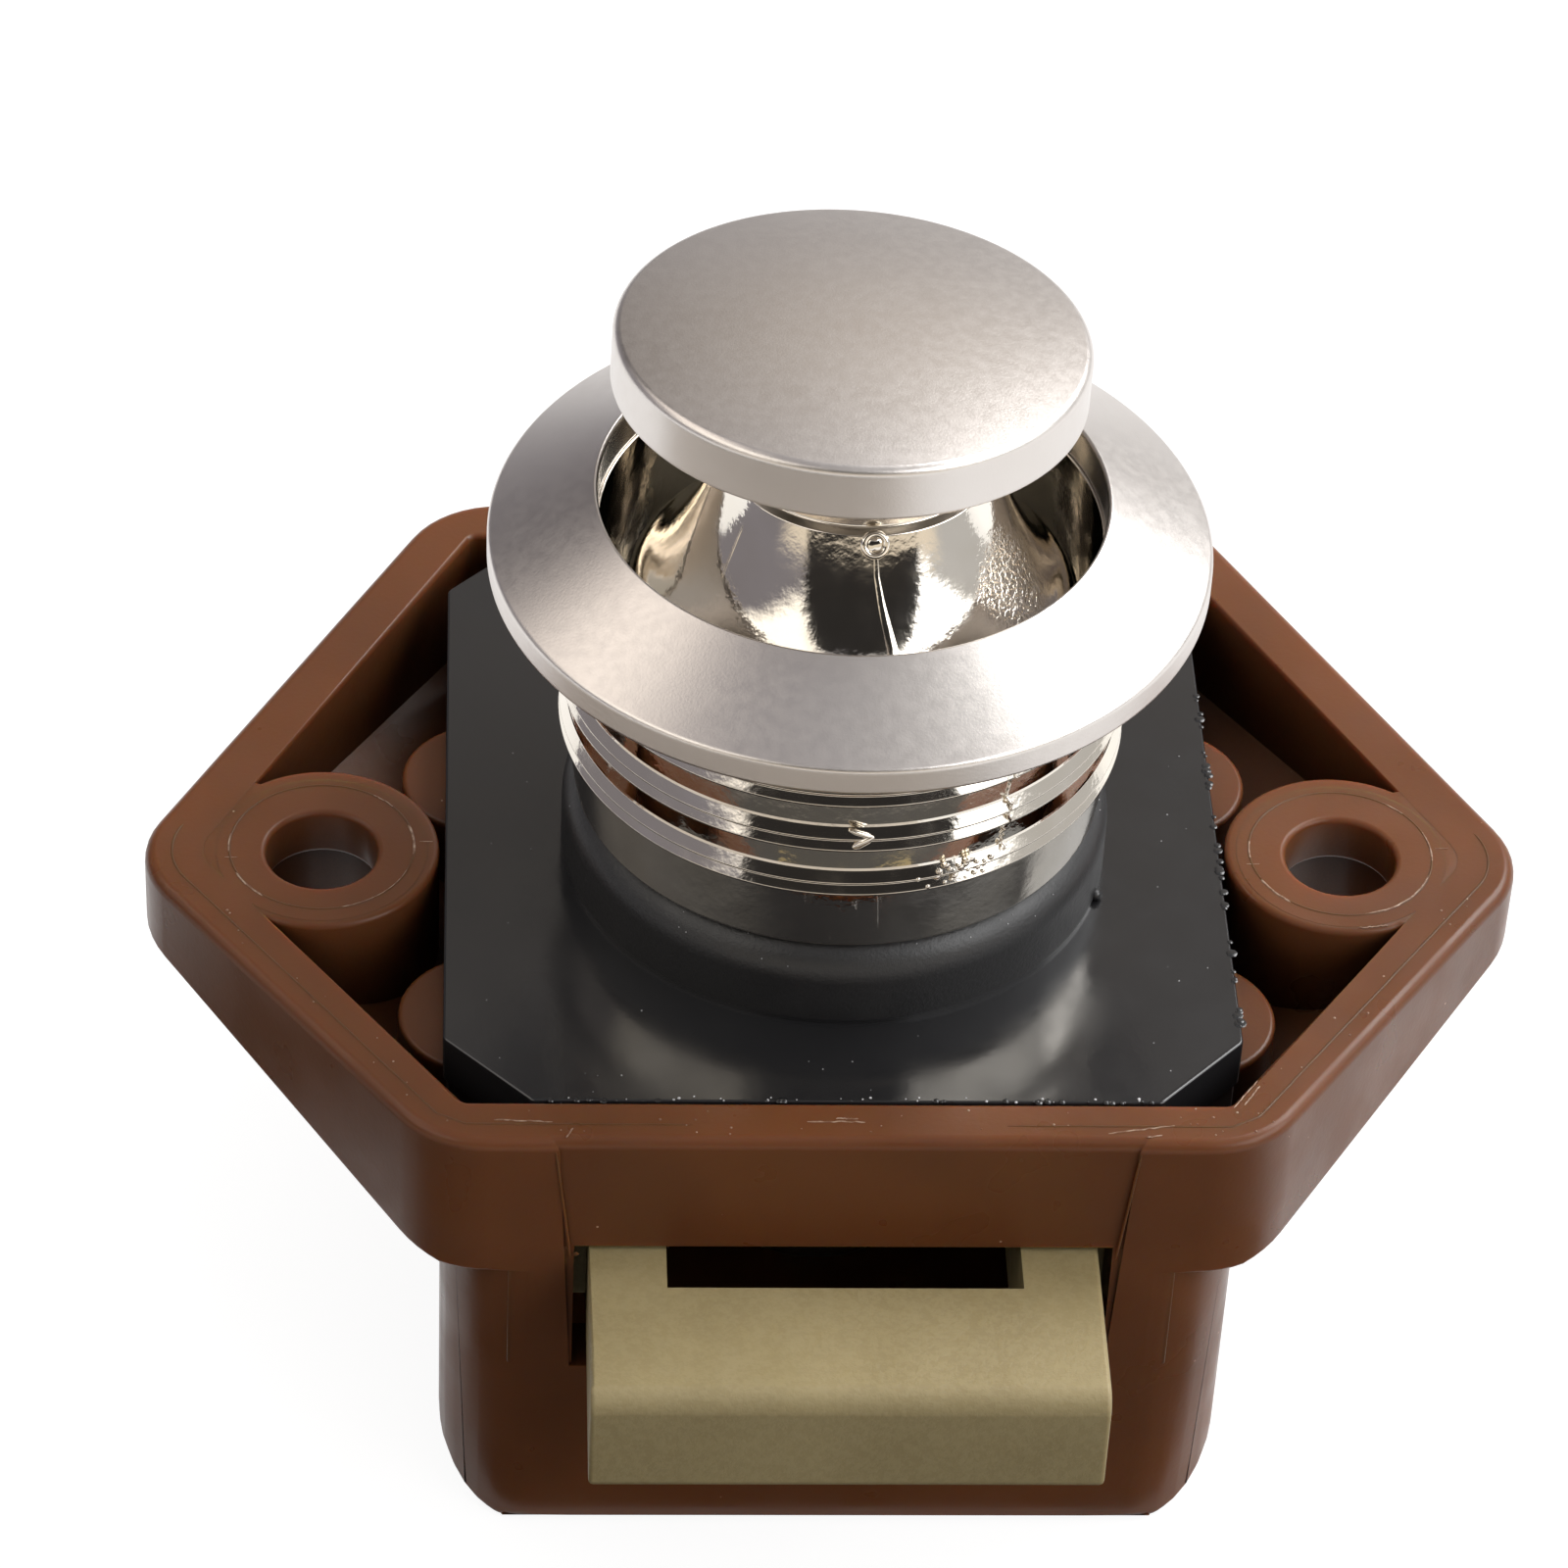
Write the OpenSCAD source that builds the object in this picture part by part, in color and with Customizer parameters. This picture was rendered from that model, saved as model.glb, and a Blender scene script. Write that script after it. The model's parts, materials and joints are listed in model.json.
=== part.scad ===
// Push button cabinet lock: a moulded case behind the door, a rosette that fills the
// door's round hole, and a sprung knob whose wedge legs draw a sliding bolt back.
// Millimetres. The origin lies midway between the two screw holes, on the case's rim,
// which is the face that meets the door. +Z points out of the door, -Y to the bolt.

/* [Case] */
// Width of the case over its two tips
case_w = 64; // [62:1:76]
// Distance from the screw line to the front wall, where the bolt comes out
case_front = 19.4; // [19:0.1:23]
// Distance from the screw line to the back wall
case_back = 26; // [26:0.5:34]
// Width of the straight front and back edges, between their sharp corners
case_flat = 37; // [36.6:0.2:42]
// Depth of the case behind the door
case_h = 24.8; // [24.4:0.2:32]
// Width of the box part of the case below the wings
box_w = 36.4; // [35.6:0.2:37]
// Radius of the wing tips
tip_r = 4.6; // [3.5:0.1:6]
// Radius of the rim's front and back corners
corner_r = 5; // [3:0.5:7]
// Radius of the upright corners of the box
box_r = 4.2; // [2:0.2:6]
// Thickness of the rim and of the front and back walls
rim_t = 2.7; // [2.2:0.1:3]
// Thickness of the side walls of the box
side_t = 1.8; // [1.4:0.1:2]
// Thickness of the case floor and of the wing floors
floor_t = 1.8; // [1.4:0.1:2.2]
// Depth of the wings where they meet the box
wing_h = 8.1; // [7.8:0.1:10]
// Depth of the wings at their tips
tip_h = 4.2; // [4:0.1:6]
// Chamfer along the bottom edges of the box
base_chamfer = 0.5; // [0.2:0.1:1]
// Depth of the faint panel that the mould slide leaves round the bolt opening
panel_depth = 0.15; // [0.1:0.05:0.3]

/* [Screw holes] */
// Distance between the two mounting screws
screw_span = 47.6; // [47:0.2:50]
// Diameter of the screw holes
screw_d = 5.2; // [4:0.1:5.6]
// Diameter of the bosses round the screw holes
screw_boss_d = 9.8; // [8.8:0.1:10]
// Diameter of the recess for the screw head, from the cabinet side
head_d = 7.4; // [6.6:0.1:8]
// Length of the screw hole itself, above the recess
screw_hole_l = 2.5; // [2:0.1:3]

/* [Cover plate] */
// Thickness of the cover plate
plate_t = 2.5; // [2:0.1:3]
// How far the cover plate lies below the rim
plate_drop = 0.1; // [0.05:0.05:0.3]
// Width of the cover plate
plate_w = 36.2; // [35:0.2:36.4]
// Cut across each corner of the cover plate
plate_cut = 4; // [3.6:0.1:4.4]
// Thickness of the wall under the plate's edge
skirt_t = 1.2; // [0.8:0.1:1.4]
// Diameter of the round boss
boss_d = 25.4; // [24.8:0.2:25.8]
// Height of the round boss above the rim
boss_h = 4.2; // [3.6:0.1:5]
// Radius of the boss's top edge
boss_r = 1.9; // [1:0.1:1.9]
// Diameter of the corner bosses that carry the plate
corner_boss_d = 7.8; // [7:0.1:7.8]
// Distance across the width between the corner bosses
corner_boss_x = 32.6; // [32:0.2:33]
// Distance from the screw line to the corner bosses
corner_boss_y = 8.2; // [7.8:0.1:8.2]
// Diameter of the pins in the corner bosses
cover_pin_d = 2; // [1.5:0.1:2.4]
// Length of the pins in the corner bosses
cover_pin_l = 4; // [3:0.1:4.4]

/* [Rosette] */
// Distance from the screw line back to the button's axis
button_back = 1.2; // [0:0.1:1.6]
// Diameter of the sleeve that goes through the door
sleeve_d = 25.2; // [24.8:0.2:25.6]
// Diameter over the ribs of the sleeve, for a 26 mm hole
rib_d = 25.9; // [25.8:0.1:26.2]
// Inside diameter of the sleeve
sleeve_bore = 22.6; // [22.4:0.1:22.8]
// Distance from one rib to the next
rib_pitch = 2.6; // [2.2:0.1:3]
// Width of one rib
rib_w = 1.35; // [1:0.05:1.5]
// Height of the lowest rib above the sleeve's foot
rib_start = 3.7; // [2.5:0.1:4.5]
// Number of ribs
rib_count = 3; // [1:1:3]
// Width of the flange inside the sleeve's foot
foot_w = 1.4; // [1.1:0.1:1.5]
// Thickness of the flange inside the sleeve's foot
foot_t = 1.2; // [0.8:0.1:1.3]
// Diameter of the conical ring
ring_d = 32.6; // [30:0.2:36]
// Diameter of the ring's mouth
mouth_d = 22.8; // [22.4:0.1:23.2]
// Height of the ring's underside above the case's rim: the thickest door
door_t = 16.8; // [16:0.1:19]
// Height of the ring's upright edge
ring_edge = 1.2; // [0.8:0.1:1.6]
// Height of the mouth above the ring's underside
ring_h = 3.9; // [3.4:0.1:4.5]

/* [Knob] */
// Diameter of the knob's cap
cap_d = 21.1; // [20:0.1:21.6]
// Height of the cap's upright edge
cap_edge = 2.6; // [2:0.1:3]
// Rise of the cap's crown above its edge
cap_crown = 0.9; // [0.5:0.1:1.4]
// Radius of the cap's upper edge
cap_r = 0.5; // [0.3:0.1:0.7]
// Gap between the cap and the ring's mouth
cap_gap = 6.3; // [5.5:0.1:7]
// Diameter of the neck under the cap
neck_d = 10.8; // [10:0.2:12]
// Diameter of the skirt
skirt_d = 20.6; // [20:0.1:21]
// Height of the neck
neck_h = 4.7; // [4:0.1:5.2]
// Height of the skirt's cone, from the neck to its upright lip
shoulder_h = 6.4; // [5.6:0.1:6.6]
// Height of the skirt's upright lip
skirt_lip = 0.8; // [0.8:0.1:1.6]
// Radius where the cone turns into the lip
skirt_r = 2.2; // [1:0.1:2.4]
// Diameter of the clamping screw
stem_d = 4; // [3:0.5:4]
// Diameter of the clamping screw's head
stem_head_d = 5.8; // [5.4:0.1:6.2]
// Height of the clamping screw's head
stem_head_h = 2.4; // [2:0.1:3]
// Diameter of the threaded insert in the cap
insert_d = 6; // [5.6:0.1:7]
// Height of the threaded insert
insert_h = 2.2; // [1.8:0.1:2.4]
// Depth of the clamping screw's seat below the skirt's foot
seat_depth = 4.9; // [4.5:0.1:5.2]
// How far the knob can be pressed
travel = 8.8; // [6:0.1:8.8]

/* [Plunger] */
// Diameter of the plunger
plunger_d = 18.2; // [17.6:0.1:18.4]
// Diameter of the spigot on the plunger that centres the skirt
spigot_d = 12; // [10:0.2:13]
// Height of the spigot
spigot_h = 1.4; // [1:0.1:1.6]
// Width of the plunger over its two legs
fork_w = 15.2; // [14.6:0.1:15.4]
// Thickness of one leg
leg_t = 2.7; // [2:0.1:2.9]
// Distance from the button's axis to the front face of the legs
leg_front = 4.7; // [4.4:0.1:5]
// Thickness of the stop under the cover plate
stop_t = 1.5; // [1.2:0.1:1.8]
// How far the front stop reaches past the plunger
stop_reach = 1.4; // [1:0.1:1.6]

/* [Bolt] */
// Width of the bolt
bolt_w = 23; // [22.6:0.2:23.4]
// Thickness of the bolt
bolt_t = 5.7; // [5.4:0.1:6]
// Depth of the bolt's upper face below the rim
bolt_z = 6.8; // [6.7:0.1:7.4]
// How far the bolt stands out of the case
bolt_out = 9.1; // [8.9:0.1:11]
// Radius of the bolt's upper front edge
bolt_r = 0.9; // [0.4:0.1:1.4]
// Width of the bolt's window
window_w = 16; // [15.8:0.1:16.2]
// Thickness of the bolt in front of its window
nose_t = 6.9; // [6:0.1:7]
// Width of the bolt's tail, inside the case
tail_w = 30; // [29.6:0.2:30.4]
// Length of the bolt's tail behind its front stop
tail_l = 30; // [28:0.5:30]
// Length of the bolt's tail in front of the spring bores
bolt_spring_wall = 6.6; // [6.2:0.1:7]
// Thickness of the bar behind the window
bar_t = 4; // [3:0.1:4]

/* [Springs] */
// Outside diameter of the plunger spring
plunger_spring_d = 8.6; // [8.2:0.1:8.8]
// Wire of the plunger spring
plunger_wire = 0.8; // [0.6:0.1:0.8]
// Turns of the plunger spring
plunger_turns = 12; // [8:1:12]
// Outside diameter of the bolt springs
bolt_spring_d = 3.5; // [3.3:0.1:3.6]
// Wire of the bolt springs
bolt_wire = 0.5; // [0.4:0.05:0.5]
// Turns of each bolt spring
bolt_turns = 20; // [12:1:20]
// Diameter of the rods inside the bolt springs
rod_d = 1.8; // [1.4:0.1:1.9]

/* [Hidden] */

$fn = 96;
// Clearance of a sliding or seated fit, on each side
slide_gap = 0.1;
// Clearance between plain parts that pass each other
pass_gap = 0.3;
// Clearances of the bolt in the case's front wall: beside, above and below it
opening_gap = 0.65;
opening_top_gap = 0.25;
opening_foot_gap = 1.7;
// Margins of the faint panel beside the bolt opening, at its foot and at its top
panel_foot = 0.1;
panel_head = 0.8;
// Radius of the small inside corners
inner_r = 0.5;
// Gap between the cover plate and the rim, all round
plate_gap = 0.15;
// Width and side clearance of the slide rails under the bolt's tail
rail_w = 2;
rail_inset = 2.5;
// Ribs that hold the bolt down: width, distance from the plunger, distance from the walls
hold_w = 1.5;
hold_gap = 1.15;
hold_end = 3;
// Broken edges: on small plated parts, on the sleeve's foot and the cap, and on the bolt
edge_break = 0.15;
foot_break = 0.2;
bolt_break = 0.3;
// Clearance of the ring's seat on the sleeve
seat_gap = 0.05;
// Depth of the ring's seat below its mouth
seat_drop = 2;
// How much a sleeve rib draws in at its two edges
rib_draft = 0.06;
// Step round the top of the skirt's cone, outside the neck
neck_step = 0.4;
// Groove round the threaded insert: depth, and its length as a share of the insert's
groove_t = 0.3;
groove_share = 0.3;
// Screwdriver slot in the clamping screw
slot_w = 1;
slot_h = 1.1;
// Clearance between the plunger's body and the bolt when the knob is pressed
press_gap = 0.6;
// Height of the plunger's lug behind the wedge faces
lug_h = 0.85;
// How far the plunger's legs reach below the bolt
leg_reach = 0.4;
// Clearances of the springs: in the plunger, on their washers and in the bolt's bores
spring_play = 0.45;
spring_rim = 0.3;
bore_play = 0.25;
// Clearance beside the wedges in the bolt's window
wedge_play = 0.2;
// How far the guide rods lie inside the middle of the window's side walls
rod_inset = 0.3;
// Gap in front of the guide rods when the bolt is drawn in
rod_gap = 0.8;
// Gap between a spring's closed end turn and the next one
coil_close = 0.45;
// Overlap that makes a cut clean
cut = 1;
// Overlap that joins two solids of one piece
join = 0.2;
// Steps in one rounded corner of an outline
corner_steps = 8;

case_colour = [0.42, 0.25, 0.15];
black_colour = [0.07, 0.07, 0.075];
nickel_colour = [0.72, 0.69, 0.67];
chrome_colour = [0.82, 0.8, 0.77];
bolt_colour = [0.6, 0.55, 0.38];
steel_colour = [0.62, 0.63, 0.65];
brass_colour = [0.78, 0.62, 0.3];
acetal_colour = [0.86, 0.86, 0.82];

// Heights and depths that several pieces share
box_half = box_w / 2;
tip_c = [case_w / 2 - tip_r, 0];
floor_z = -case_h + floor_t;
plate_top = -plate_drop;
plate_under = plate_top - plate_t;
cavity_front = -case_front + rim_t;
cavity_back = case_back - rim_t;
bolt_top = -bolt_z;
bolt_under = bolt_top - bolt_t;
bolt_mid = bolt_top - bolt_t / 2;
wing_floor_z = -wing_h + floor_t;
mouth_z = door_t + ring_h;
cap_under = mouth_z + cap_gap;
neck_foot = cap_under - neck_h;
shoulder_foot = neck_foot - shoulder_h;
skirt_foot = shoulder_foot - skirt_lip;
sleeve_top = mouth_z - seat_drop;
spigot_top = skirt_foot + spigot_h + slide_gap;
leg_front_y = button_back - leg_front;
stop_top = plate_under - slide_gap;
tail_front = cavity_front + pass_gap;
tail_back = tail_front + tail_l;
window_back = tail_back - bar_t;
window_front = -case_front - bolt_out + nose_t;
// Where the bolt's ramps start, at its underside
ramp_y = window_back - bolt_t;
spring_front = tail_front + bolt_spring_wall;
rod_x = (window_w + tail_w) / 4 - rod_inset;
leg_foot = bolt_under - leg_reach;
// Gap between the wedge faces at rest, along the bolt
ramp_gap = 0.15;
stem_top = cap_under + insert_h - slide_gap;
screw_seat = skirt_foot - seat_depth;
washer_t = 0.8;
seat_t = 0.5;
seat_wall = 0.5;
seat_play = 0.2;

// Unit vector
function unit(v) = v / norm(v);

// Points of one rounded corner b = [x, y, radius] between its neighbours a and c
function corner_arc(a, b, c) = let (
    p = [b[0], b[1]],
    u = unit([a[0], a[1]] - p),
    v = unit([c[0], c[1]] - p),
    half = acos(u * v) / 2,
    centre = p + unit(u + v) * b[2] / sin(half),
    from = p + u * b[2] / tan(half) - centre,
    to = p + v * b[2] / tan(half) - centre,
    start = atan2(from[1], from[0]),
    sweep = ((atan2(to[1], to[0]) - start + 540) % 360) - 180
) [for (i = [0 : corner_steps]) let (t = start + sweep * i / corner_steps)
    centre + b[2] * [cos(t), sin(t)]];

// Closed outline with every corner rounded
function rounded(corners) = let (n = len(corners))
    [for (i = [0 : n - 1])
        each corner_arc(corners[(i + n - 1) % n], corners[i], corners[(i + 1) % n])];

// Angle, seen from the tip's centre, at which a line from p touches the tip
function touch_angle(p, r, side) = let (v = p - tip_c)
    atan2(v[1], v[0]) + side * acos(r / norm(v));

function polar(r, a) = r * [cos(a), sin(a)];

// Corner p moved inward by d from the straight edge and from the slanted one
function inset_corner(p, side, d) = let (
    n1 = [0, p[1] < 0 ? 1 : -1],
    n2 = -polar(1, touch_angle(p, tip_r, side))
) p + d * (n1 + n2) / (1 + n1 * n2);

// Right half of the case's outline, drawn in by d, from front to back
function case_half(d, r) = let (
    p1 = inset_corner([case_flat / 2, -case_front], 1, d),
    p2 = inset_corner([case_flat / 2, case_back], -1, d),
    a1 = touch_angle(p1, tip_r - d, 1),
    a2 = touch_angle(p2, tip_r - d, -1),
    t1 = tip_c + polar(tip_r - d, a1),
    t2 = tip_c + polar(tip_r - d, a2)
) concat(
    corner_arc([0, p1[1]], [p1[0], p1[1], r], t1),
    [for (i = [0 : corner_steps])
        tip_c + polar(tip_r - d, a1 + (a2 - a1) * i / corner_steps)],
    corner_arc(t2, [p2[0], p2[1], r], [0, p2[1]])
);

function case_outline(d, r) = let (half = case_half(d, r))
    concat(half, [for (i = [len(half) - 1 : -1 : 0]) [-half[i][0], half[i][1]]]);

// Extrudes an outline drawn in X and Z along Y, from y0 to y1
module along_y(y0, y1) {
    translate([0, y1, 0])
        rotate([90, 0, 0])
            linear_extrude(y1 - y0)
                children();
}

// Extrudes an outline drawn in Y and Z along X, from x0 to x1
module along_x(x0, x1) {
    translate([x0, 0, 0])
        rotate([90, 0, 90])
            linear_extrude(x1 - x0)
                children();
}

module on_axis() {
    translate([0, button_back, 0]) children();
}

// Depth profile of rim and wings, with the wing undersides raised by lift
module wing_profile(top, lift) {
    polygon([
        [-case_w / 2 - cut, top], [-case_w / 2 - cut, -tip_h + lift],
        [-case_w / 2, -tip_h + lift], [-box_half, -wing_h + lift],
        [box_half, -wing_h + lift], [case_w / 2, -tip_h + lift],
        [case_w / 2 + cut, -tip_h + lift], [case_w / 2 + cut, top]
    ]);
}

module screw_places() {
    for (side = [-1, 1])
        translate([side * screw_span / 2, 0, 0]) children();
}

module corner_places() {
    for (x = [-1, 1], y = [-1, 1])
        translate([x * corner_boss_x / 2, y * corner_boss_y, 0]) children();
}

// Box part of the case, chamfered along its bottom edges
module case_box() {
    intersection() {
        translate([0, 0, -case_h])
            linear_extrude(case_h - wing_h + join)
                polygon(rounded([
                    [-box_half, -case_front, box_r], [box_half, -case_front, box_r],
                    [box_half, case_back, box_r], [-box_half, case_back, box_r]
                ]));
        along_y(-case_front - cut, case_back + cut)
            polygon([
                [-box_half, 0], [-box_half, -case_h + base_chamfer],
                [-box_half + base_chamfer, -case_h], [box_half - base_chamfer, -case_h],
                [box_half, -case_h + base_chamfer], [box_half, 0]
            ]);
        along_x(-box_half - cut, box_half + cut)
            polygon([
                [-case_front, 0], [-case_front, -case_h + base_chamfer],
                [-case_front + base_chamfer, -case_h], [case_back - base_chamfer, -case_h],
                [case_back, -case_h + base_chamfer], [case_back, 0]
            ]);
    }
}

// Hollow of the wings and of the rim, round the screw bosses
module wing_hollow() {
    difference() {
        intersection() {
            translate([0, 0, -wing_h])
                linear_extrude(wing_h + cut)
                    polygon(case_outline(rim_t, inner_r));
            along_y(-case_front, case_back)
                wing_profile(cut, floor_t);
        }
        screw_places()
            translate([0, 0, -wing_h])
                cylinder(d = screw_boss_d, h = wing_h);
        corner_places()
            translate([0, 0, wing_floor_z - join])
                cylinder(d = corner_boss_d, h = plate_under - wing_floor_z + join);
    }
}

// Hollow of the box, between the slide rails
module box_hollow() {
    inner = box_half - side_t;
    rail_in = tail_w / 2 - rail_inset;
    side_in = tail_w / 2 + slide_gap;
    difference() {
        translate([-inner, cavity_front, floor_z])
            cube([2 * inner, cavity_back - cavity_front, wing_floor_z - floor_z + join / 2]);
        for (side = [-1, 1])
            scale([side, 1, 1]) {
                translate([rail_in, cavity_front - cut, floor_z - cut])
                    cube([rail_w, cavity_back - cavity_front + 2 * cut,
                          bolt_under - slide_gap - floor_z + cut]);
                translate([side_in, cavity_front - cut, floor_z - cut])
                    cube([inner - side_in + cut, cavity_back - cavity_front + 2 * cut,
                          bolt_top - slide_gap - floor_z + cut]);
                translate([corner_boss_x / 2, 0, wing_floor_z - join])
                    for (y = [-1, 1])
                        translate([0, y * corner_boss_y, 0])
                            cylinder(d = corner_boss_d, h = cut);
            }
    }
}

module lock_case() {
    open_half = bolt_w / 2 + opening_gap;
    open_top = bolt_top + opening_top_gap;
    open_foot = bolt_under - opening_foot_gap;
    color(case_colour)
    difference() {
        union() {
            intersection() {
                translate([0, 0, -wing_h])
                    linear_extrude(wing_h)
                        polygon(case_outline(0, corner_r));
                along_y(-case_front - cut, case_back + cut)
                    wing_profile(0, 0);
            }
            case_box();
        }
        wing_hollow();
        box_hollow();
        // Opening for the bolt, and the faint panel round it
        along_y(-case_front - cut, cavity_front + cut)
            polygon([
                [-open_half, open_foot], [open_half, open_foot],
                [open_half, open_top], [-open_half, open_top]
            ]);
        along_y(-case_front - cut, -case_front + panel_depth)
            polygon([
                [-open_half - panel_foot, open_foot], [open_half + panel_foot, open_foot],
                [open_half + panel_head, cut], [-open_half - panel_head, cut]
            ]);
        // Mounting screw holes, with the recess for the head on the cabinet side
        screw_places() {
            translate([0, 0, -wing_h - cut])
                cylinder(d = screw_d, h = wing_h + 2 * cut);
            translate([0, 0, -wing_h - cut])
                cylinder(d = head_d, h = wing_h + cut - screw_hole_l);
        }
        // Sockets for the cover pins and for the guide rods
        corner_places()
            translate([0, 0, plate_under - cover_pin_l / 2])
                cylinder(d = cover_pin_d, h = cover_pin_l);
        for (side = [-1, 1])
            translate([side * rod_x, cavity_back + rim_t / 2, bolt_mid])
                rotate([90, 0, 0])
                    cylinder(d = rod_d, h = rim_t);
    }
}

// Outline of the cover plate, drawn in by d
module plate_outline(d) {
    x = plate_w / 2 - d;
    y0 = cavity_front + plate_gap + d;
    y1 = cavity_back - plate_gap - d;
    c = plate_cut - d * (2 - sqrt(2));
    r = inner_r;
    polygon(rounded([
        [-x + c, y0, r], [x - c, y0, r], [x, y0 + c, r], [x, y1 - c, r],
        [x - c, y1, r], [-x + c, y1, r], [-x, y1 - c, r], [-x, y0 + c, r]
    ]));
}

module cover_plate() {
    skirt_foot_z = wing_floor_z + join;
    color(black_colour)
    difference() {
        union() {
            translate([0, 0, plate_under])
                linear_extrude(plate_t)
                    plate_outline(0);
            // Wall under the plate's edge
            difference() {
                translate([0, 0, skirt_foot_z])
                    linear_extrude(plate_under - skirt_foot_z + join)
                        difference() {
                            plate_outline(plate_gap);
                            plate_outline(plate_gap + skirt_t);
                        }
                corner_places()
                    translate([0, 0, skirt_foot_z - cut])
                        cylinder(d = corner_boss_d + 2 * slide_gap,
                                 h = plate_under - skirt_foot_z + cut);
            }
            // Round boss with its rounded top edge
            on_axis()
                rotate_extrude()
                    polygon(concat(
                        [[0, plate_under], [boss_d / 2, plate_under]],
                        [for (i = [0 : 12])
                            [boss_d / 2 - boss_r, boss_h - boss_r]
                                + polar(boss_r, i * 90 / 12)],
                        [[0, boss_h]]
                    ));
            // Ribs that hold the bolt down on its rails
            for (side = [-1, 1])
                translate([side * (plunger_d / 2 + hold_gap + hold_w / 2) - hold_w / 2,
                           cavity_front + hold_end, bolt_top + slide_gap])
                    cube([hold_w, cavity_back - cavity_front - 2 * hold_end,
                          plate_under - bolt_top - slide_gap + join]);
        }
        on_axis()
            translate([0, 0, bolt_top])
                cylinder(d = plunger_d + 2 * slide_gap, h = boss_h - bolt_top + cut);
        corner_places()
            translate([0, 0, plate_under - cut])
                cylinder(d = cover_pin_d, h = cut + cover_pin_l / 2);
    }
}

module cover_pins() {
    color(steel_colour)
    corner_places()
        translate([0, 0, plate_under - cover_pin_l / 2])
            cylinder(d = cover_pin_d, h = cover_pin_l);
}

module rosette_ring() {
    rim = ring_d / 2;
    mouth = mouth_d / 2;
    seat = sleeve_d / 2 + seat_gap;
    seat_z = sleeve_top + seat_gap;
    color(nickel_colour)
    on_axis()
        rotate_extrude()
            polygon([
                [seat, door_t], [rim - edge_break, door_t], [rim, door_t + edge_break],
                [rim, door_t + ring_edge],
                [rim - edge_break, door_t + ring_edge + edge_break],
                [mouth + edge_break, mouth_z], [mouth, mouth_z - edge_break],
                [mouth, seat_z], [seat, seat_z]
            ]);
}

module rosette_collar() {
    out = sleeve_d / 2;
    rib = rib_d / 2;
    color(chrome_colour)
    on_axis()
        rotate_extrude()
            polygon(concat(
                [[sleeve_bore / 2 - foot_w, boss_h], [out - foot_break, boss_h],
                 [out, boss_h + foot_break]],
                [for (i = [0 : rib_count - 1])
                    let (z = boss_h + rib_start + i * rib_pitch)
                    each [[out, z], [rib - rib_draft, z + edge_break], [rib, z + rib_w / 2],
                          [rib - rib_draft, z + rib_w - edge_break], [out, z + rib_w]]],
                [[out, sleeve_top], [sleeve_bore / 2, sleeve_top],
                 [sleeve_bore / 2, boss_h + foot_t],
                 [sleeve_bore / 2 - foot_w, boss_h + foot_t]]
            ));
}

module knob_cap() {
    rim = cap_d / 2;
    edge_z = cap_under + cap_edge;
    flat = rim - cap_r;
    // Radius of the crown's sphere, from its rise over the flat's width
    crown = (pow(flat, 2) + pow(cap_crown, 2)) / (2 * cap_crown);
    reach = asin(flat / crown);
    color(nickel_colour)
    on_axis()
        rotate_extrude()
            polygon(concat(
                [[insert_d / 2, cap_under], [rim - foot_break, cap_under],
                 [rim, cap_under + foot_break]],
                [for (i = [0 : 6])
                    [flat, edge_z - cap_r] + polar(cap_r, i * (90 - reach) / 6)],
                [for (i = [11 : -1 : 0])
                    [crown * sin(reach * i / 12),
                     edge_z + cap_crown - crown * (1 - cos(reach * i / 12))]],
                [[0, cap_under + insert_h], [insert_d / 2, cap_under + insert_h]]
            ));
}

module cap_insert() {
    r = insert_d / 2;
    middle = cap_under + insert_h / 2;
    half = insert_h * groove_share / 2;
    color(brass_colour)
    on_axis()
        rotate_extrude()
            polygon([
                [stem_d / 2, cap_under], [r, cap_under],
                [r, middle - half], [r - groove_t, middle - half / 3],
                [r - groove_t, middle + half / 3], [r, middle + half],
                [r, cap_under + insert_h], [stem_d / 2, cap_under + insert_h]
            ]);
}

module knob_skirt() {
    neck = neck_d / 2;
    skirt = skirt_d / 2;
    hub = spigot_d / 2 + slide_gap;
    color(chrome_colour)
    on_axis()
        rotate_extrude()
            polygon(concat(
                [[stem_d / 2 + slide_gap, cap_under], [stem_d / 2 + slide_gap, spigot_top],
                 [hub, spigot_top], [hub, skirt_foot], [skirt, skirt_foot]],
                corner_arc([skirt, skirt_foot], [skirt, shoulder_foot, skirt_r],
                           [neck + neck_step, neck_foot]),
                [[neck + neck_step, neck_foot],
                 [neck + neck_step - edge_break, neck_foot + edge_break],
                 [neck, neck_foot + edge_break], [neck, cap_under]]
            ));
}

module knob_screw() {
    color(steel_colour)
    on_axis()
        difference() {
            union() {
                translate([0, 0, screw_seat - washer_t - stem_head_h])
                    cylinder(d = stem_head_d, h = stem_head_h);
                translate([0, 0, screw_seat - washer_t - join])
                    cylinder(d = stem_d, h = stem_top - screw_seat + washer_t + join);
            }
            // Slot across the head
            translate([-stem_head_d / 2 - cut, -slot_w / 2,
                       screw_seat - washer_t - stem_head_h - cut])
                cube([stem_head_d + 2 * cut, slot_w, cut + slot_h]);
        }
}

module spring_washer() {
    color(steel_colour)
    on_axis()
        translate([0, 0, screw_seat - washer_t])
            difference() {
                cylinder(d = plunger_spring_d + 2 * spring_rim, h = washer_t);
                translate([0, 0, -cut])
                    cylinder(d = stem_d + 2 * slide_gap, h = washer_t + 2 * cut);
            }
}

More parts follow.
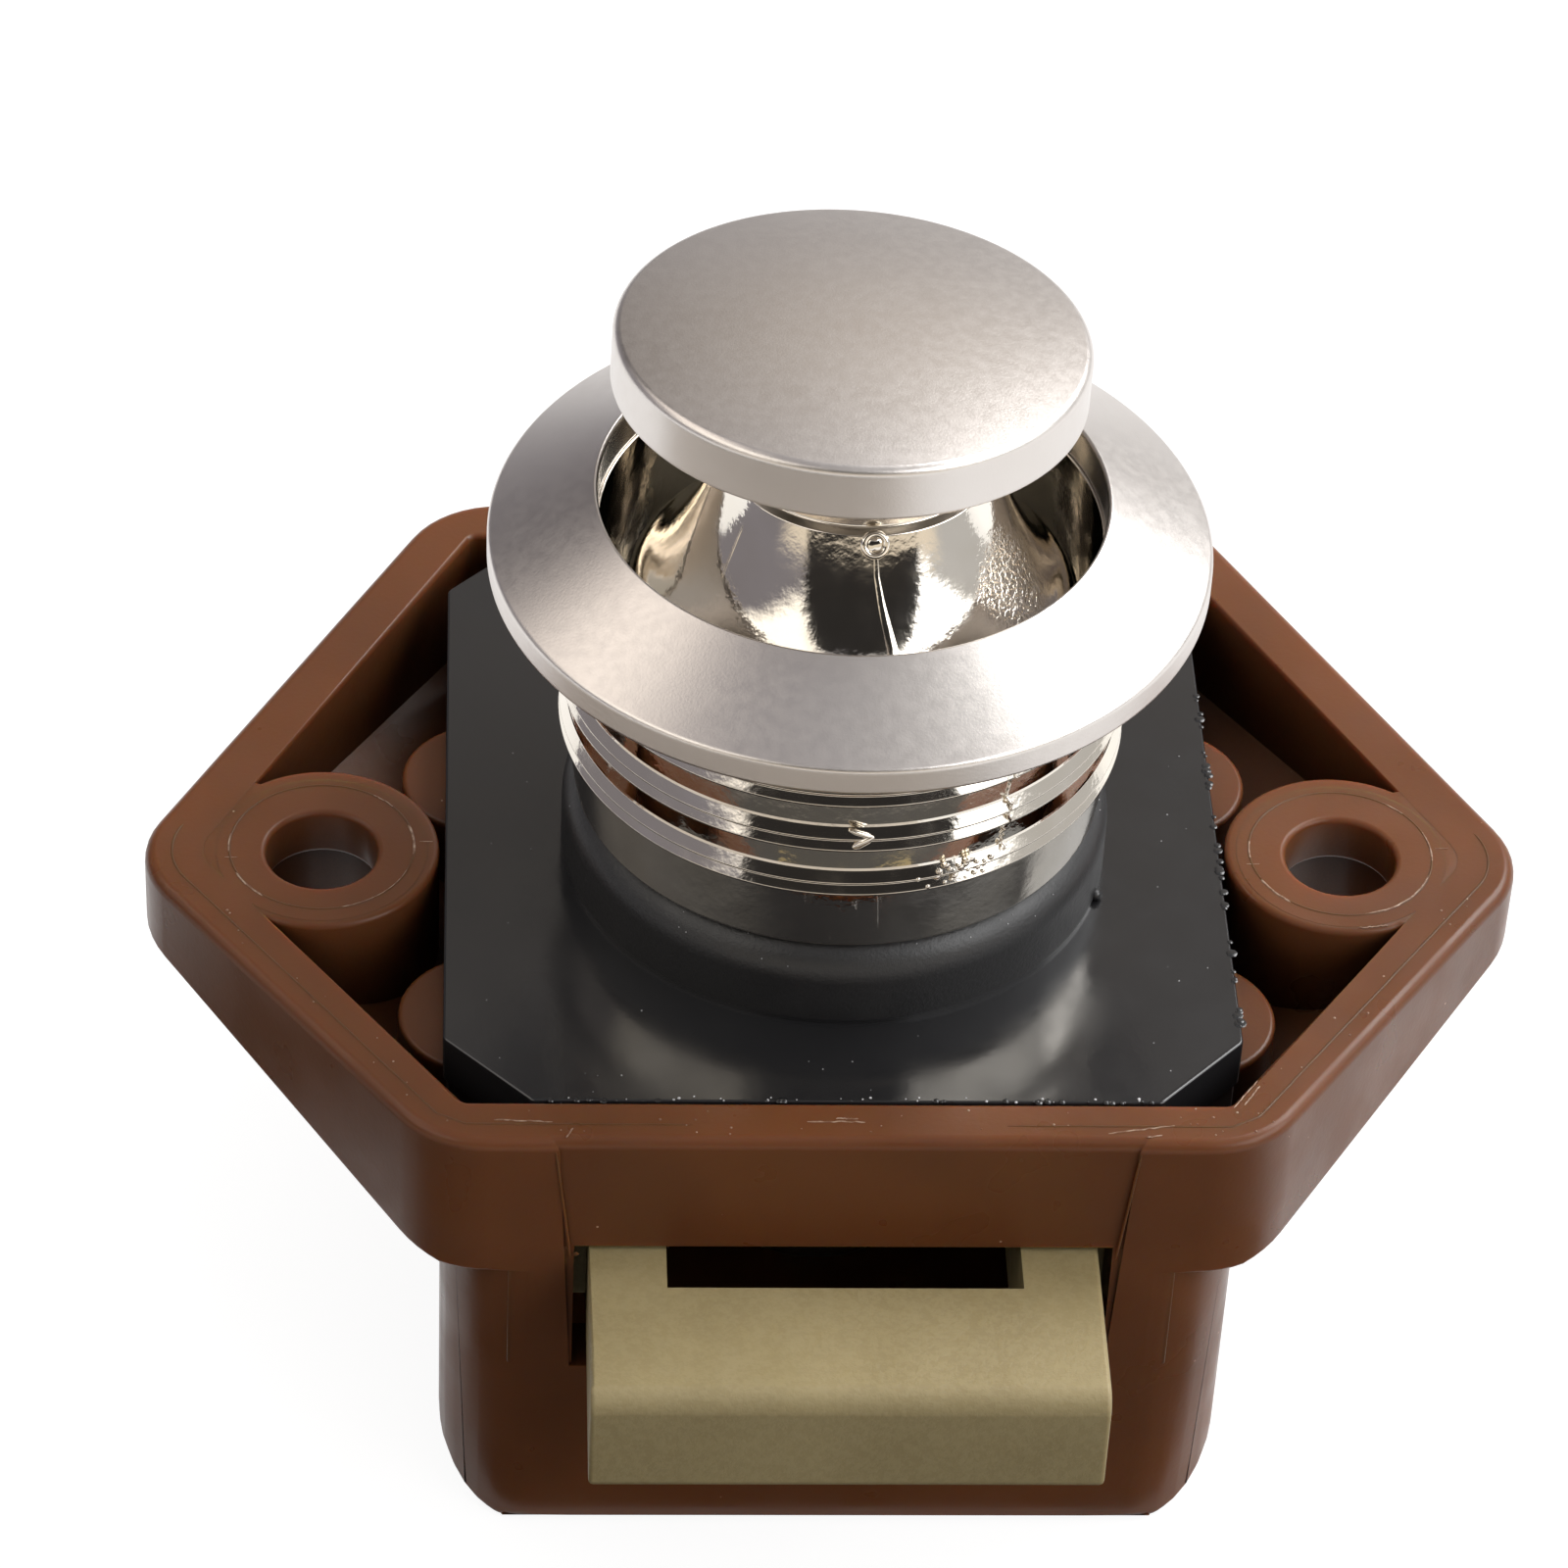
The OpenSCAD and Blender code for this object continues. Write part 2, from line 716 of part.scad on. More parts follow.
module plunger() {
    r = plunger_d / 2;
    half = fork_w / 2;
    // The wedge faces slant at 45 degrees, so the bolt moves as far as the knob
    foot_y = ramp_y - ramp_gap + leg_foot - bolt_under;
    lug_foot = stop_top - lug_h;
    lug_back = ramp_y - ramp_gap + lug_foot - bolt_under;
    body_foot = bolt_top + travel + press_gap;
    color(acetal_colour)
    difference() {
        union() {
            on_axis() {
                translate([0, 0, body_foot])
                    cylinder(d = plunger_d, h = skirt_foot - body_foot);
                translate([0, 0, skirt_foot - join])
                    cylinder(d = spigot_d, h = spigot_h + join);
                intersection() {
                    translate([0, 0, stop_top - join])
                        cylinder(d = plunger_d, h = body_foot - stop_top + 2 * join);
                    translate([-half, -r - cut, stop_top - cut])
                        cube([fork_w, plunger_d + 2 * cut, skirt_foot - stop_top]);
                }
            }
            for (side = [-1, 1])
                scale([side, 1, 1])
                    along_x(half - leg_t, half)
                        polygon([
                            [leg_front_y, leg_foot], [foot_y, leg_foot],
                            [lug_back, lug_foot], [lug_back, stop_top],
                            [button_back - r - stop_reach, stop_top],
                            [button_back - r - stop_reach, stop_top - stop_t],
                            [leg_front_y, stop_top - stop_t]
                        ]);
        }
        on_axis() {
            translate([0, 0, stop_top - cut])
                cylinder(d = plunger_spring_d + 2 * spring_play, h = screw_seat - stop_top + cut);
            translate([0, 0, screw_seat - cut])
                cylinder(d = stem_d + 2 * slide_gap, h = skirt_foot - screw_seat + 3 * cut);
        }
    }
}

module latch_bolt() {
    nose = -case_front - bolt_out;
    half = bolt_w / 2;
    tail = tail_w / 2;
    win = window_w / 2;
    color(bolt_colour)
    difference() {
        union() {
            along_x(-half, half)
                polygon(concat(
                    [[nose + bolt_break, bolt_under], [tail_back, bolt_under], [tail_back, bolt_top]],
                    [for (i = [0 : 8]) [nose + bolt_r, bolt_top - bolt_r]
                        + polar(bolt_r, 90 + i * 90 / 8)],
                    [[nose, bolt_under + bolt_break]]
                ));
            translate([-tail, tail_front, bolt_under])
                cube([tail_w, tail_l, bolt_t]);
        }
        // Window: full length between the legs, with a ramp under each leg
        difference() {
            translate([-win, window_front, bolt_under - cut])
                cube([window_w, window_back - window_front, bolt_t + 2 * cut]);
            for (side = [-1, 1])
                scale([side, 1, 1])
                    along_x(fork_w / 2 - leg_t - wedge_play, win + cut)
                        polygon([
                            [ramp_y, bolt_under], [window_back + cut, bolt_under],
                            [window_back + cut, bolt_top], [window_back, bolt_top]
                        ]);
        }
        // Bores for the springs
        for (side = [-1, 1])
            translate([side * rod_x, tail_back + cut, bolt_mid])
                rotate([90, 0, 0])
                    cylinder(d = bolt_spring_d + 2 * bore_play, h = tail_back + cut - spring_front);
    }
}

// Height at turn t of a spring with one closed turn at each end
function coil_rise(t, turns, wire, length) = let (
    closed = wire + coil_close,
    free = (length - wire - 2 * closed) / (turns - 2)
) wire / 2 + (t < 1 ? closed * t
    : t > turns - 1 ? length - wire - closed * (turns - t)
    : closed + free * (t - 1));

// One unbroken helical wire of round section, standing on z = 0
module coil(d, wire, turns, length) {
    rings = turns * 8;
    sides = 6;
    mean = (d - wire) / 2;
    points = [for (i = [0 : rings], k = [0 : sides - 1]) let (
        t = i / 8,
        a = 360 * t,
        b = 360 * k / sides,
        r = mean + wire / 2 * cos(b)
    ) [r * cos(a), r * sin(a), coil_rise(t, turns, wire, length) + wire / 2 * sin(b)]];
    skin = [for (i = [0 : rings - 1], k = [0 : sides - 1]) let (
        a = i * sides + k,
        b = i * sides + (k + 1) % sides
    ) each [[a, b, b + sides], [a, b + sides, a + sides]]];
    ends = [for (k = [1 : sides - 2])
        each [[0, k + 1, k],
              [rings * sides, rings * sides + k, rings * sides + k + 1]]];
    polyhedron(points, concat(skin, ends), convexity = 10);
}

// Least distance between one turn's wire and the next, measured on the coil's points
function coil_gap(turns, wire, length) = min([for (i = [0 : (turns - 1) * 8])
    coil_rise(i / 8 + 1, turns, wire, length) - coil_rise(i / 8, turns, wire, length)]) - wire;

plunger_spring_l = screw_seat - washer_t - floor_z - seat_t;
bolt_spring_l = cavity_back - spring_front;
echo(plunger_spring_gap = coil_gap(plunger_turns, plunger_wire, plunger_spring_l));
echo(bolt_spring_gap = coil_gap(bolt_turns, bolt_wire, bolt_spring_l));

module plunger_spring() {
    color(steel_colour)
    on_axis()
        translate([0, 0, floor_z + seat_t])
            coil(plunger_spring_d, plunger_wire, plunger_turns, plunger_spring_l);
}

module spring_seat() {
    r = plunger_spring_d / 2 + seat_play;
    color(steel_colour)
    on_axis()
        translate([0, 0, floor_z])
            difference() {
                cylinder(r = r + seat_wall, h = seat_t + seat_wall);
                translate([0, 0, seat_t])
                    cylinder(r = r, h = seat_wall + cut);
            }
}

module bolt_spring(side) {
    color(steel_colour)
    translate([side * rod_x, cavity_back, bolt_mid])
        rotate([90, 0, 0])
            coil(bolt_spring_d, bolt_wire, bolt_turns, bolt_spring_l);
}

module guide_rod(side) {
    color(steel_colour)
    translate([side * rod_x, cavity_back + rim_t / 2, bolt_mid])
        rotate([90, 0, 0])
            cylinder(d = rod_d,
                     h = cavity_back + rim_t / 2 - spring_front - travel - rod_gap);
}

module bolt_spring_left() { bolt_spring(-1); }
module bolt_spring_right() { bolt_spring(1); }
module guide_rod_left() { guide_rod(-1); }
module guide_rod_right() { guide_rod(1); }

lock_case();
cover_plate();
cover_pins();
rosette_ring();
rosette_collar();
knob_cap();
cap_insert();
knob_skirt();
knob_screw();
spring_washer();
plunger();
plunger_spring();
spring_seat();
latch_bolt();
bolt_spring_left();
bolt_spring_right();
guide_rod_left();
guide_rod_right();
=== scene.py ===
"""Looks of a push button cabinet lock: moulded brown case, black cover plate, beige bolt,
nickel-plated rosette and knob, on a white studio floor."""

import json
import math
import random

import bmesh
import bpy
from mathutils import Matrix, Vector


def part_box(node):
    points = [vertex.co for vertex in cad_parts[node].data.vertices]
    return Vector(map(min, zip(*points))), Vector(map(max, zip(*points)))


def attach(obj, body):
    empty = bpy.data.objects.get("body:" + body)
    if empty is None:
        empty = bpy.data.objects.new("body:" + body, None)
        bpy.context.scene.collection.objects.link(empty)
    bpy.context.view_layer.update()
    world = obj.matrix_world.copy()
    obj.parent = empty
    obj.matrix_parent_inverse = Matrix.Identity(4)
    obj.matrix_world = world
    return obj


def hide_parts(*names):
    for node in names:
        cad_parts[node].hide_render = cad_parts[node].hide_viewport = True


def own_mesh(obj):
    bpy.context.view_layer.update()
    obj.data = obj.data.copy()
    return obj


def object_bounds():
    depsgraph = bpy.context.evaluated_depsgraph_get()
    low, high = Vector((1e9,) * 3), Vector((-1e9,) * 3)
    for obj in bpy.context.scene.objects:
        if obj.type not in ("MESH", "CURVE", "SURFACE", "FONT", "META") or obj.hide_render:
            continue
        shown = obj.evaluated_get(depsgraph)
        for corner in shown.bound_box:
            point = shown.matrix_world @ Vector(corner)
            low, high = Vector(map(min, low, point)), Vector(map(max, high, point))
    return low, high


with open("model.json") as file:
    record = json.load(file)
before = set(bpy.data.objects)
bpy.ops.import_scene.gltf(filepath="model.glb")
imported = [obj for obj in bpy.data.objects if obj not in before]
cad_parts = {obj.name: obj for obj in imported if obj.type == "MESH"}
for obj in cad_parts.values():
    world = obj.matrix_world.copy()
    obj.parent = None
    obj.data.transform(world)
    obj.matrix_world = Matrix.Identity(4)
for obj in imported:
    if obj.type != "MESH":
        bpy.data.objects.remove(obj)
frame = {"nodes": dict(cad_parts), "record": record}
cad_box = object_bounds()

# Lengths are in millimetres unless a comment says otherwise
MM = 0.001
SIDES = ((-1, "left"), (1, "right"))
UP = Vector((0, 0, 1))
FRONT = Vector((0, -1, 0))
rng = random.Random(7)


def rad(degrees):
    return math.radians(degrees)


def add_object(name, data):
    made = bpy.data.objects.new(name, data)
    bpy.context.scene.collection.objects.link(made)
    return made


def box_mm(node):
    """Low and high corner of a CAD node's box."""
    return [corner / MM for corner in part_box(node)]


# The camera, fitted to the photograph's edges and circles

IMAGE_W = 1600
FOCAL_PX = 6271.25
SENSOR_W = 36.0
NEAR_CLIP, FAR_CLIP = 0.01, 20
CAM_AZIMUTH = rad(-3.972)
CAM_ELEVATION = rad(41.113)
CAM_ROLL = rad(3.041)
CAM_DISTANCE = 283.72 * MM
CAM_TARGET = Vector((-2.479, 0, 4.238)) * MM


def make_camera():
    back = Vector((
        math.sin(CAM_AZIMUTH) * math.cos(CAM_ELEVATION),
        -math.cos(CAM_AZIMUTH) * math.cos(CAM_ELEVATION),
        math.sin(CAM_ELEVATION),
    ))
    level = Vector((math.cos(CAM_AZIMUTH), math.sin(CAM_AZIMUTH), 0))
    upright = back.cross(level)
    right = math.cos(CAM_ROLL) * level + math.sin(CAM_ROLL) * upright
    up = -math.sin(CAM_ROLL) * level + math.cos(CAM_ROLL) * upright
    data = bpy.data.cameras.new("camera")
    data.sensor_width = SENSOR_W
    data.lens = FOCAL_PX / IMAGE_W * SENSOR_W
    data.clip_start = NEAR_CLIP
    data.clip_end = FAR_CLIP
    camera = add_object("camera", data)
    camera.matrix_world = Matrix((right, up, back)).transposed().to_4x4()
    camera.location = CAM_TARGET + back * CAM_DISTANCE
    bpy.context.scene.camera = camera


make_camera()
bpy.context.scene.view_settings.view_transform = "Standard"


# The button's axis runs along Z at x = 0 and this y
AXIS_Y = (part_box("rosette_ring")[0].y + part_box("rosette_ring")[1].y) / 2 / MM


# Node helpers for the materials

class Nodes:
    """The node tree of a material or a world, with short calls that add and join nodes."""

    def __init__(self, name, world=False):
        owner = bpy.data.worlds.new(name) if world else bpy.data.materials.new(name)
        owner.use_nodes = True
        self.owner = owner
        self.tree = owner.node_tree
        self.tree.nodes.clear()
        self.out = self.add("OutputWorld" if world else "OutputMaterial")
        self.place = self.add("TexCoord").outputs["Generated" if world else "Object"]

    def add(self, kind, **settings):
        node = self.tree.nodes.new("ShaderNode" + kind)
        for key, value in settings.items():
            setattr(node, key, value)
        return node

    def feed(self, socket, value):
        """Links value to the socket, or sets it where value is a number or colour."""
        if isinstance(value, bpy.types.NodeSocket):
            self.tree.links.new(value, socket)
        elif isinstance(value, tuple) and len(value) == 3 and socket.type == "RGBA":
            socket.default_value = (*value, 1)
        else:
            socket.default_value = value

    def math(self, operation, a, b=0.0):
        node = self.add("Math", operation=operation)
        self.feed(node.inputs[0], a)
        self.feed(node.inputs[1], b)
        return node.outputs[0]

    def noise(self, size_mm, detail=2.0, rough=0.5, place=None):
        """Noise from 0 to 1 whose features are about size_mm across."""
        node = self.add("TexNoise")
        self.feed(node.inputs["Vector"], place or self.place)
        node.inputs["Scale"].default_value = 1 / (size_mm * MM)
        node.inputs["Detail"].default_value = detail
        node.inputs["Roughness"].default_value = rough
        return node.outputs["Fac"]

    def specks(self, size_mm, core, edge):
        """1 in small specks about size_mm apart, from core to edge of their spacing."""
        node = self.add("TexVoronoi")
        self.feed(node.inputs["Vector"], self.place)
        node.inputs["Scale"].default_value = 1 / (size_mm * MM)
        return self.ramp(node.outputs["Distance"], core, edge, 1.0, 0.0)

    def ramp(self, value, low, high, a=0.0, b=1.0):
        """Smooth step of value from a at low to b at high."""
        node = self.add("MapRange", interpolation_type="SMOOTHSTEP")
        for key, v in zip(("Value", "From Min", "From Max", "To Min", "To Max"),
                          (value, low, high, a, b)):
            self.feed(node.inputs[key], v)
        return node.outputs[0]

    def mix(self, factor, a, b):
        node = self.add("Mix", data_type="RGBA")
        self.feed(node.inputs[0], factor)
        self.feed(node.inputs[6], a)
        self.feed(node.inputs[7], b)
        return node.outputs[2]

    def axis(self, letter):
        node = self.add("SeparateXYZ")
        self.feed(node.inputs[0], self.place)
        return node.outputs[letter]

    def radius(self):
        """Distance from the button's axis."""
        across = self.math("SUBTRACT", self.axis("Y"), AXIS_Y * MM)
        squares = self.math("ADD", self.math("MULTIPLY", across, across),
                            self.math("MULTIPLY", self.axis("X"), self.axis("X")))
        return self.math("SQRT", squares)

    def away(self, place_mm):
        """Distance from a place of the part."""
        node = self.add("VectorMath", operation="DISTANCE")
        self.feed(node.inputs[0], self.place)
        node.inputs[1].default_value = place_mm * MM
        return node.outputs["Value"]

    def dot(self, vector):
        """Share of the place vector that lies along the given direction."""
        node = self.add("VectorMath", operation="DOT_PRODUCT")
        self.feed(node.inputs[0], self.place)
        node.inputs[1].default_value = vector
        return node.outputs["Value"]

    def bump(self, height, depth_mm, strength=1.0, normal=None):
        node = self.add("Bump")
        self.feed(node.inputs["Strength"], strength)
        node.inputs["Distance"].default_value = depth_mm * MM
        self.feed(node.inputs["Height"], height)
        if normal is not None:
            self.feed(node.inputs["Normal"], normal)
        return node.outputs[0]

    def surface(self, **inputs):
        """Principled surface: keys are socket names with _ for spaces."""
        shader = self.add("BsdfPrincipled")
        for key, value in inputs.items():
            self.feed(shader.inputs[key.replace("_", " ")], value)
        self.tree.links.new(shader.outputs[0], self.out.inputs["Surface"])
        return self.owner


# Materials

def brown_plastic():
    """Translucent brown ABS: warm where it is thin, with faint flow marks and specks, and
    painted shade that darkens its hollows.
    """
    m = Nodes("brown_plastic")
    flow = m.noise(9, 3)
    fine = m.noise(0.25, 2)
    colour = m.mix(m.ramp(flow, 0.35, 0.7), (0.135, 0.047, 0.016), (0.112, 0.04, 0.015))
    speck = m.specks(1.3, 0.035, 0.05)
    colour = m.mix(m.math("MULTIPLY", speck, m.ramp(m.noise(6), 0.55, 0.65)), colour,
                   (0.5, 0.33, 0.24))
    # Painted shade: the colour darkens to near black in hollows, pockets and slots, where
    # ambient occlusion finds them
    painted_recess_shade = m.add("AmbientOcclusion", samples=8)
    painted_recess_shade.inputs["Distance"].default_value = 9 * MM
    colour = m.mix(m.ramp(painted_recess_shade.outputs["AO"], 0.12, 0.55), (0.03, 0.009, 0.003), colour)
    grain = m.bump(m.math("ADD", fine, m.noise(2.2, 2)), 0.012, 0.5)
    return m.surface(
        Base_Color=colour, Roughness=m.ramp(m.noise(4, 3), 0.3, 0.7, 0.27, 0.4),
        IOR=1.5, Specular_IOR_Level=0.25, Subsurface_Weight=0.5,
        Subsurface_Radius=(1.0, 0.25, 0.05), Subsurface_Scale=2.2 * MM, Normal=grain)


# The cover plate's round boss
BOSS_R = 12.9
PLATE_ROUGHNESS = 0.13


def black_plastic():
    """Glossy black styrene with soft sinks and a little dust, matte on the round boss."""
    m = Nodes("black_plastic")
    matte = m.math("MULTIPLY",
                   m.ramp(m.radius(), (BOSS_R - 0.05) * MM, BOSS_R * MM, 1.0, 0.0),
                   m.ramp(m.axis("Z"), 0.0, 0.25 * MM))
    dust = m.math("MULTIPLY", m.specks(1.1, 0.02, 0.035), m.ramp(m.noise(5), 0.55, 0.7))
    colour = m.mix(dust, (0.012, 0.012, 0.013), (0.35, 0.35, 0.36))
    sink = m.bump(m.noise(14, 1), 0.25, 0.6)
    grain = m.bump(m.noise(0.3, 2), 0.004, 0.6, sink)
    grain = m.bump(m.noise(0.22, 3, 0.7), 0.03, m.math("MULTIPLY", matte, 0.8), grain)
    rough = m.ramp(m.noise(3, 3), 0.3, 0.7, PLATE_ROUGHNESS, PLATE_ROUGHNESS + 0.1)
    return m.surface(
        Base_Color=colour, Roughness=m.math("ADD", rough, m.math("MULTIPLY", matte, 0.25)),
        IOR=1.55, Normal=grain)


# The rosette's bore, which is polished like the sleeve behind it
MOUTH_R = 11.4


def satin_nickel():
    """Nickel plate over a fine blasted surface, left bright inside the rosette's bore."""
    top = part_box("rosette_ring")[1].z
    m = Nodes("satin_nickel")
    cloud = m.noise(5, 3)
    colour = m.mix(m.ramp(cloud, 0.3, 0.7), (0.665, 0.625, 0.595), (0.68, 0.642, 0.613))
    bore = m.math("MULTIPLY",
                  m.ramp(m.radius(), (MOUTH_R + 0.02) * MM, (MOUTH_R + 0.08) * MM, 1.0, 0.0),
                  m.ramp(m.axis("Z"), top - 0.3 * MM, top, 1.0, 0.0))
    rough = m.ramp(m.noise(0.5, 3), 0.25, 0.75, 0.3, 0.35)
    fine = m.bump(m.noise(0.12, 2, 0.7), 0.01,
                  m.math("SUBTRACT", 0.55, m.math("MULTIPLY", bore, 0.5)))
    return m.surface(
        Base_Color=colour, Metallic=1.0,
        Roughness=m.math("MULTIPLY", rough, m.ramp(bore, 0, 1, 1.0, 0.6)), Normal=fine)


# Middle of a pitted patch on the bell
BELL_PITS = Vector((7.0, -3.2, 19.3))


def bright_nickel():
    """Polished nickel plate over moulded plastic, wavy and rippled."""
    m = Nodes("bright_nickel")
    colour = m.mix(m.ramp(m.noise(4, 2), 0.35, 0.7), (0.74, 0.69, 0.61), (0.8, 0.755, 0.69))
    wave = m.bump(m.noise(2.4, 1), 0.045, 0.6)
    ripple = m.bump(m.noise(0.45, 2), 0.012, 0.6, wave)
    pitted = m.ramp(m.away(BELL_PITS), 1.2 * MM, 3.0 * MM, 1.0, 0.0)
    pits = m.bump(m.ramp(m.noise(0.26, 2, 0.6), 0.4, 0.6), 0.018, pitted, ripple)
    fine = m.bump(m.noise(0.16, 2), 0.003, 0.5, pits)
    rough = m.ramp(m.noise(1.5, 3), 0.4, 0.75, 0.06, 0.13)
    return m.surface(
        Base_Color=colour, Metallic=1.0,
        Roughness=m.math("ADD", rough, m.math("MULTIPLY", pitted, 0.12)), Normal=fine)


def beige_plastic():
    """Beige acetal with a fine spark-eroded grain."""
    m = Nodes("beige_plastic")
    cloud = m.noise(5, 3)
    colour = m.mix(m.ramp(cloud, 0.3, 0.7), (0.235, 0.185, 0.088), (0.27, 0.215, 0.105))
    pit = m.ramp(m.noise(0.35, 3, 0.65), 0.35, 0.65)
    colour = m.mix(m.math("MULTIPLY", pit, 0.25), colour, (0.36, 0.3, 0.16))
    grain = m.bump(pit, 0.012, 0.7)
    return m.surface(
        Base_Color=colour, Roughness=m.ramp(m.noise(1.2, 3), 0.3, 0.7, 0.42, 0.55),
        IOR=1.48, Subsurface_Weight=0.25, Subsurface_Radius=(1.0, 0.7, 0.35),
        Subsurface_Scale=0.8 * MM, Normal=grain)


def white_acetal():
    """Natural white acetal of the plunger."""
    m = Nodes("white_acetal")
    colour = m.mix(m.ramp(m.noise(3, 3), 0.3, 0.7), (0.7, 0.69, 0.63), (0.76, 0.75, 0.7))
    return m.surface(
        Base_Color=colour, Roughness=0.42, IOR=1.48,
        Normal=m.bump(m.noise(0.4, 2), 0.008, 0.5))


def spun_metal(name, low, high, roughness):
    """Turned or drawn metal with fine lines round the Z axis."""
    m = Nodes(name)
    place = m.add("Mapping")
    m.feed(place.inputs["Vector"], m.place)
    place.inputs["Scale"].default_value = (0.15, 0.15, 1.0)
    lines = m.noise(0.12, 2, place=place.outputs[0])
    colour = m.mix(m.ramp(m.noise(1.5, 3), 0.3, 0.7), low, high)
    return m.surface(
        Base_Color=colour, Metallic=1.0,
        Roughness=m.ramp(lines, 0.3, 0.7, roughness, roughness + 0.12),
        Normal=m.bump(lines, 0.004, 0.5))


def scuffed_plastic():
    """Pale flash and scratches on the brown plastic."""
    m = Nodes("scuffed_plastic")
    colour = m.mix(m.ramp(m.noise(0.4, 2), 0.35, 0.7), (0.18, 0.085, 0.045), (0.42, 0.3, 0.22))
    return m.surface(Base_Color=colour, Roughness=0.45, Normal=m.bump(m.noise(0.2, 2), 0.01))


def dust_grey():
    """Pale dust and plating flash."""
    m = Nodes("dust_grey")
    colour = m.mix(m.noise(0.5, 2), (0.3, 0.3, 0.31), (0.7, 0.7, 0.72))
    return m.surface(Base_Color=colour, Roughness=0.5, Normal=m.bump(m.noise(0.1, 2), 0.005))


SCUFFED = scuffed_plastic()
DUST = dust_grey()
MATERIALS = {
    "case_plastic": brown_plastic(),
    "black_plastic": black_plastic(),
    "satin_nickel": satin_nickel(),
    "bright_nickel": bright_nickel(),
    "bolt_plastic": beige_plastic(),
    "plunger_plastic": white_acetal(),
    "steel": spun_metal("zinc_steel", (0.5, 0.51, 0.53), (0.62, 0.63, 0.64), 0.28),
    "insert_brass": spun_metal("turned_brass", (0.66, 0.48, 0.2), (0.74, 0.57, 0.27), 0.25),
}

NODE_SLOTS = {row["node"]: row["material_slot"] for row in frame["record"]["subparts"]}
for node_name, node_object in frame["nodes"].items():
    node_object.data.materials.clear()
    node_object.data.materials.append(MATERIALS[NODE_SLOTS[node_name]])


# Mesh helpers

def piece(name, mesh, body, slot, material=None, replaces=()):
    """New object of the part, which rides on a body and has its slot's finish or its own."""
    made = add_object(name, mesh)
    mesh.materials.clear()
    mesh.materials.append(material or MATERIALS[slot])
    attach(made, body)
    if replaces:
        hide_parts(*replaces)
    return made


def mesh_from(name, points, faces):
    """Mesh from points in millimetres and faces, with consistent normals."""
    mesh = bpy.data.meshes.new(name)
    mesh.from_pydata([Vector(p) * MM for p in points], [], faces)
    work = bmesh.new()
    work.from_mesh(mesh)
    bmesh.ops.recalc_face_normals(work, faces=work.faces)
    work.to_mesh(mesh)
    work.free()
    return mesh


def smooth(mesh, angle=35):
    mesh.shade_smooth()
    mesh.set_sharp_from_angle(angle=rad(angle))


def fillet_profile(corners, steps=6, support=0.04):
    """Closed profile of (r, z) points from corners (r, z, fillet radius).

    Each round has points just beside it, which keep the flats' shading flat."""
    points = []
    count = len(corners)
    for i in range(count):
        a, b, c = (Vector(corners[(i + k - 1) % count][:2]) for k in range(3))
        radius = corners[i][2]
        if radius == 0:
            points.append(b)
            continue
        u, v = (a - b).normalized(), (c - b).normalized()
        half = u.angle(v) / 2
        reach = radius / math.tan(half)
        centre = b + (u + v).normalized() * radius / math.sin(half)
        first, last = b + u * reach - centre, b + v * reach - centre
        sweep = first.angle_signed(last)
        points.append(b + u * (reach + support))
        for k in range(steps + 1):
            turn = Matrix.Rotation(-sweep * k / steps, 2)
            points.append(centre + turn @ first)
        points.append(b + v * (reach + support))
    return points


# Steps round the button's axis
SPIN = 224


def lathe(name, profile):
    """Mesh of revolution about the button's axis from a closed (r, z) profile.

    Points at r = 0 close into a pole."""
    points, rows = [], []
    for r, z in profile:
        if r < 1e-6:
            rows.append([len(points)] * SPIN)
            points.append((0, AXIS_Y, z))
            continue
        rows.append(range(len(points), len(points) + SPIN))
        for k in range(SPIN):
            angle = 2 * math.pi * k / SPIN
            points.append((r * math.cos(angle), AXIS_Y + r * math.sin(angle), z))
    faces = []
    for i, row in enumerate(rows):
        after = rows[(i + 1) % len(rows)]
        for k in range(SPIN):
            n = (k + 1) % SPIN
            face = []
            for v in (row[k], row[n], after[n], after[k]):
                if v not in face:
                    face.append(v)
            if len(face) > 2:
                faces.append(face)
    mesh = mesh_from(name, points, faces)
    smooth(mesh)
    return mesh


# The knob has play in its sleeve, and leans back in the photograph
KNOB_LEAN = rad(-4)
LEAN_PIVOT = Vector((0, AXIS_Y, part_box("knob_cap")[0].z / MM + 1.5))


def leaned(mesh, shift, roll=0.0):
    """The mesh turned about the knob's pivot by its lean and roll, and shifted."""
    pivot = Matrix.Translation(LEAN_PIVOT * MM)
    turn = Matrix.Rotation(KNOB_LEAN, 4, "X") @ Matrix.Rotation(roll, 4, "Y")
    mesh.transform(Matrix.Translation(shift * MM) @ pivot @ turn @ pivot.inverted())
    return mesh


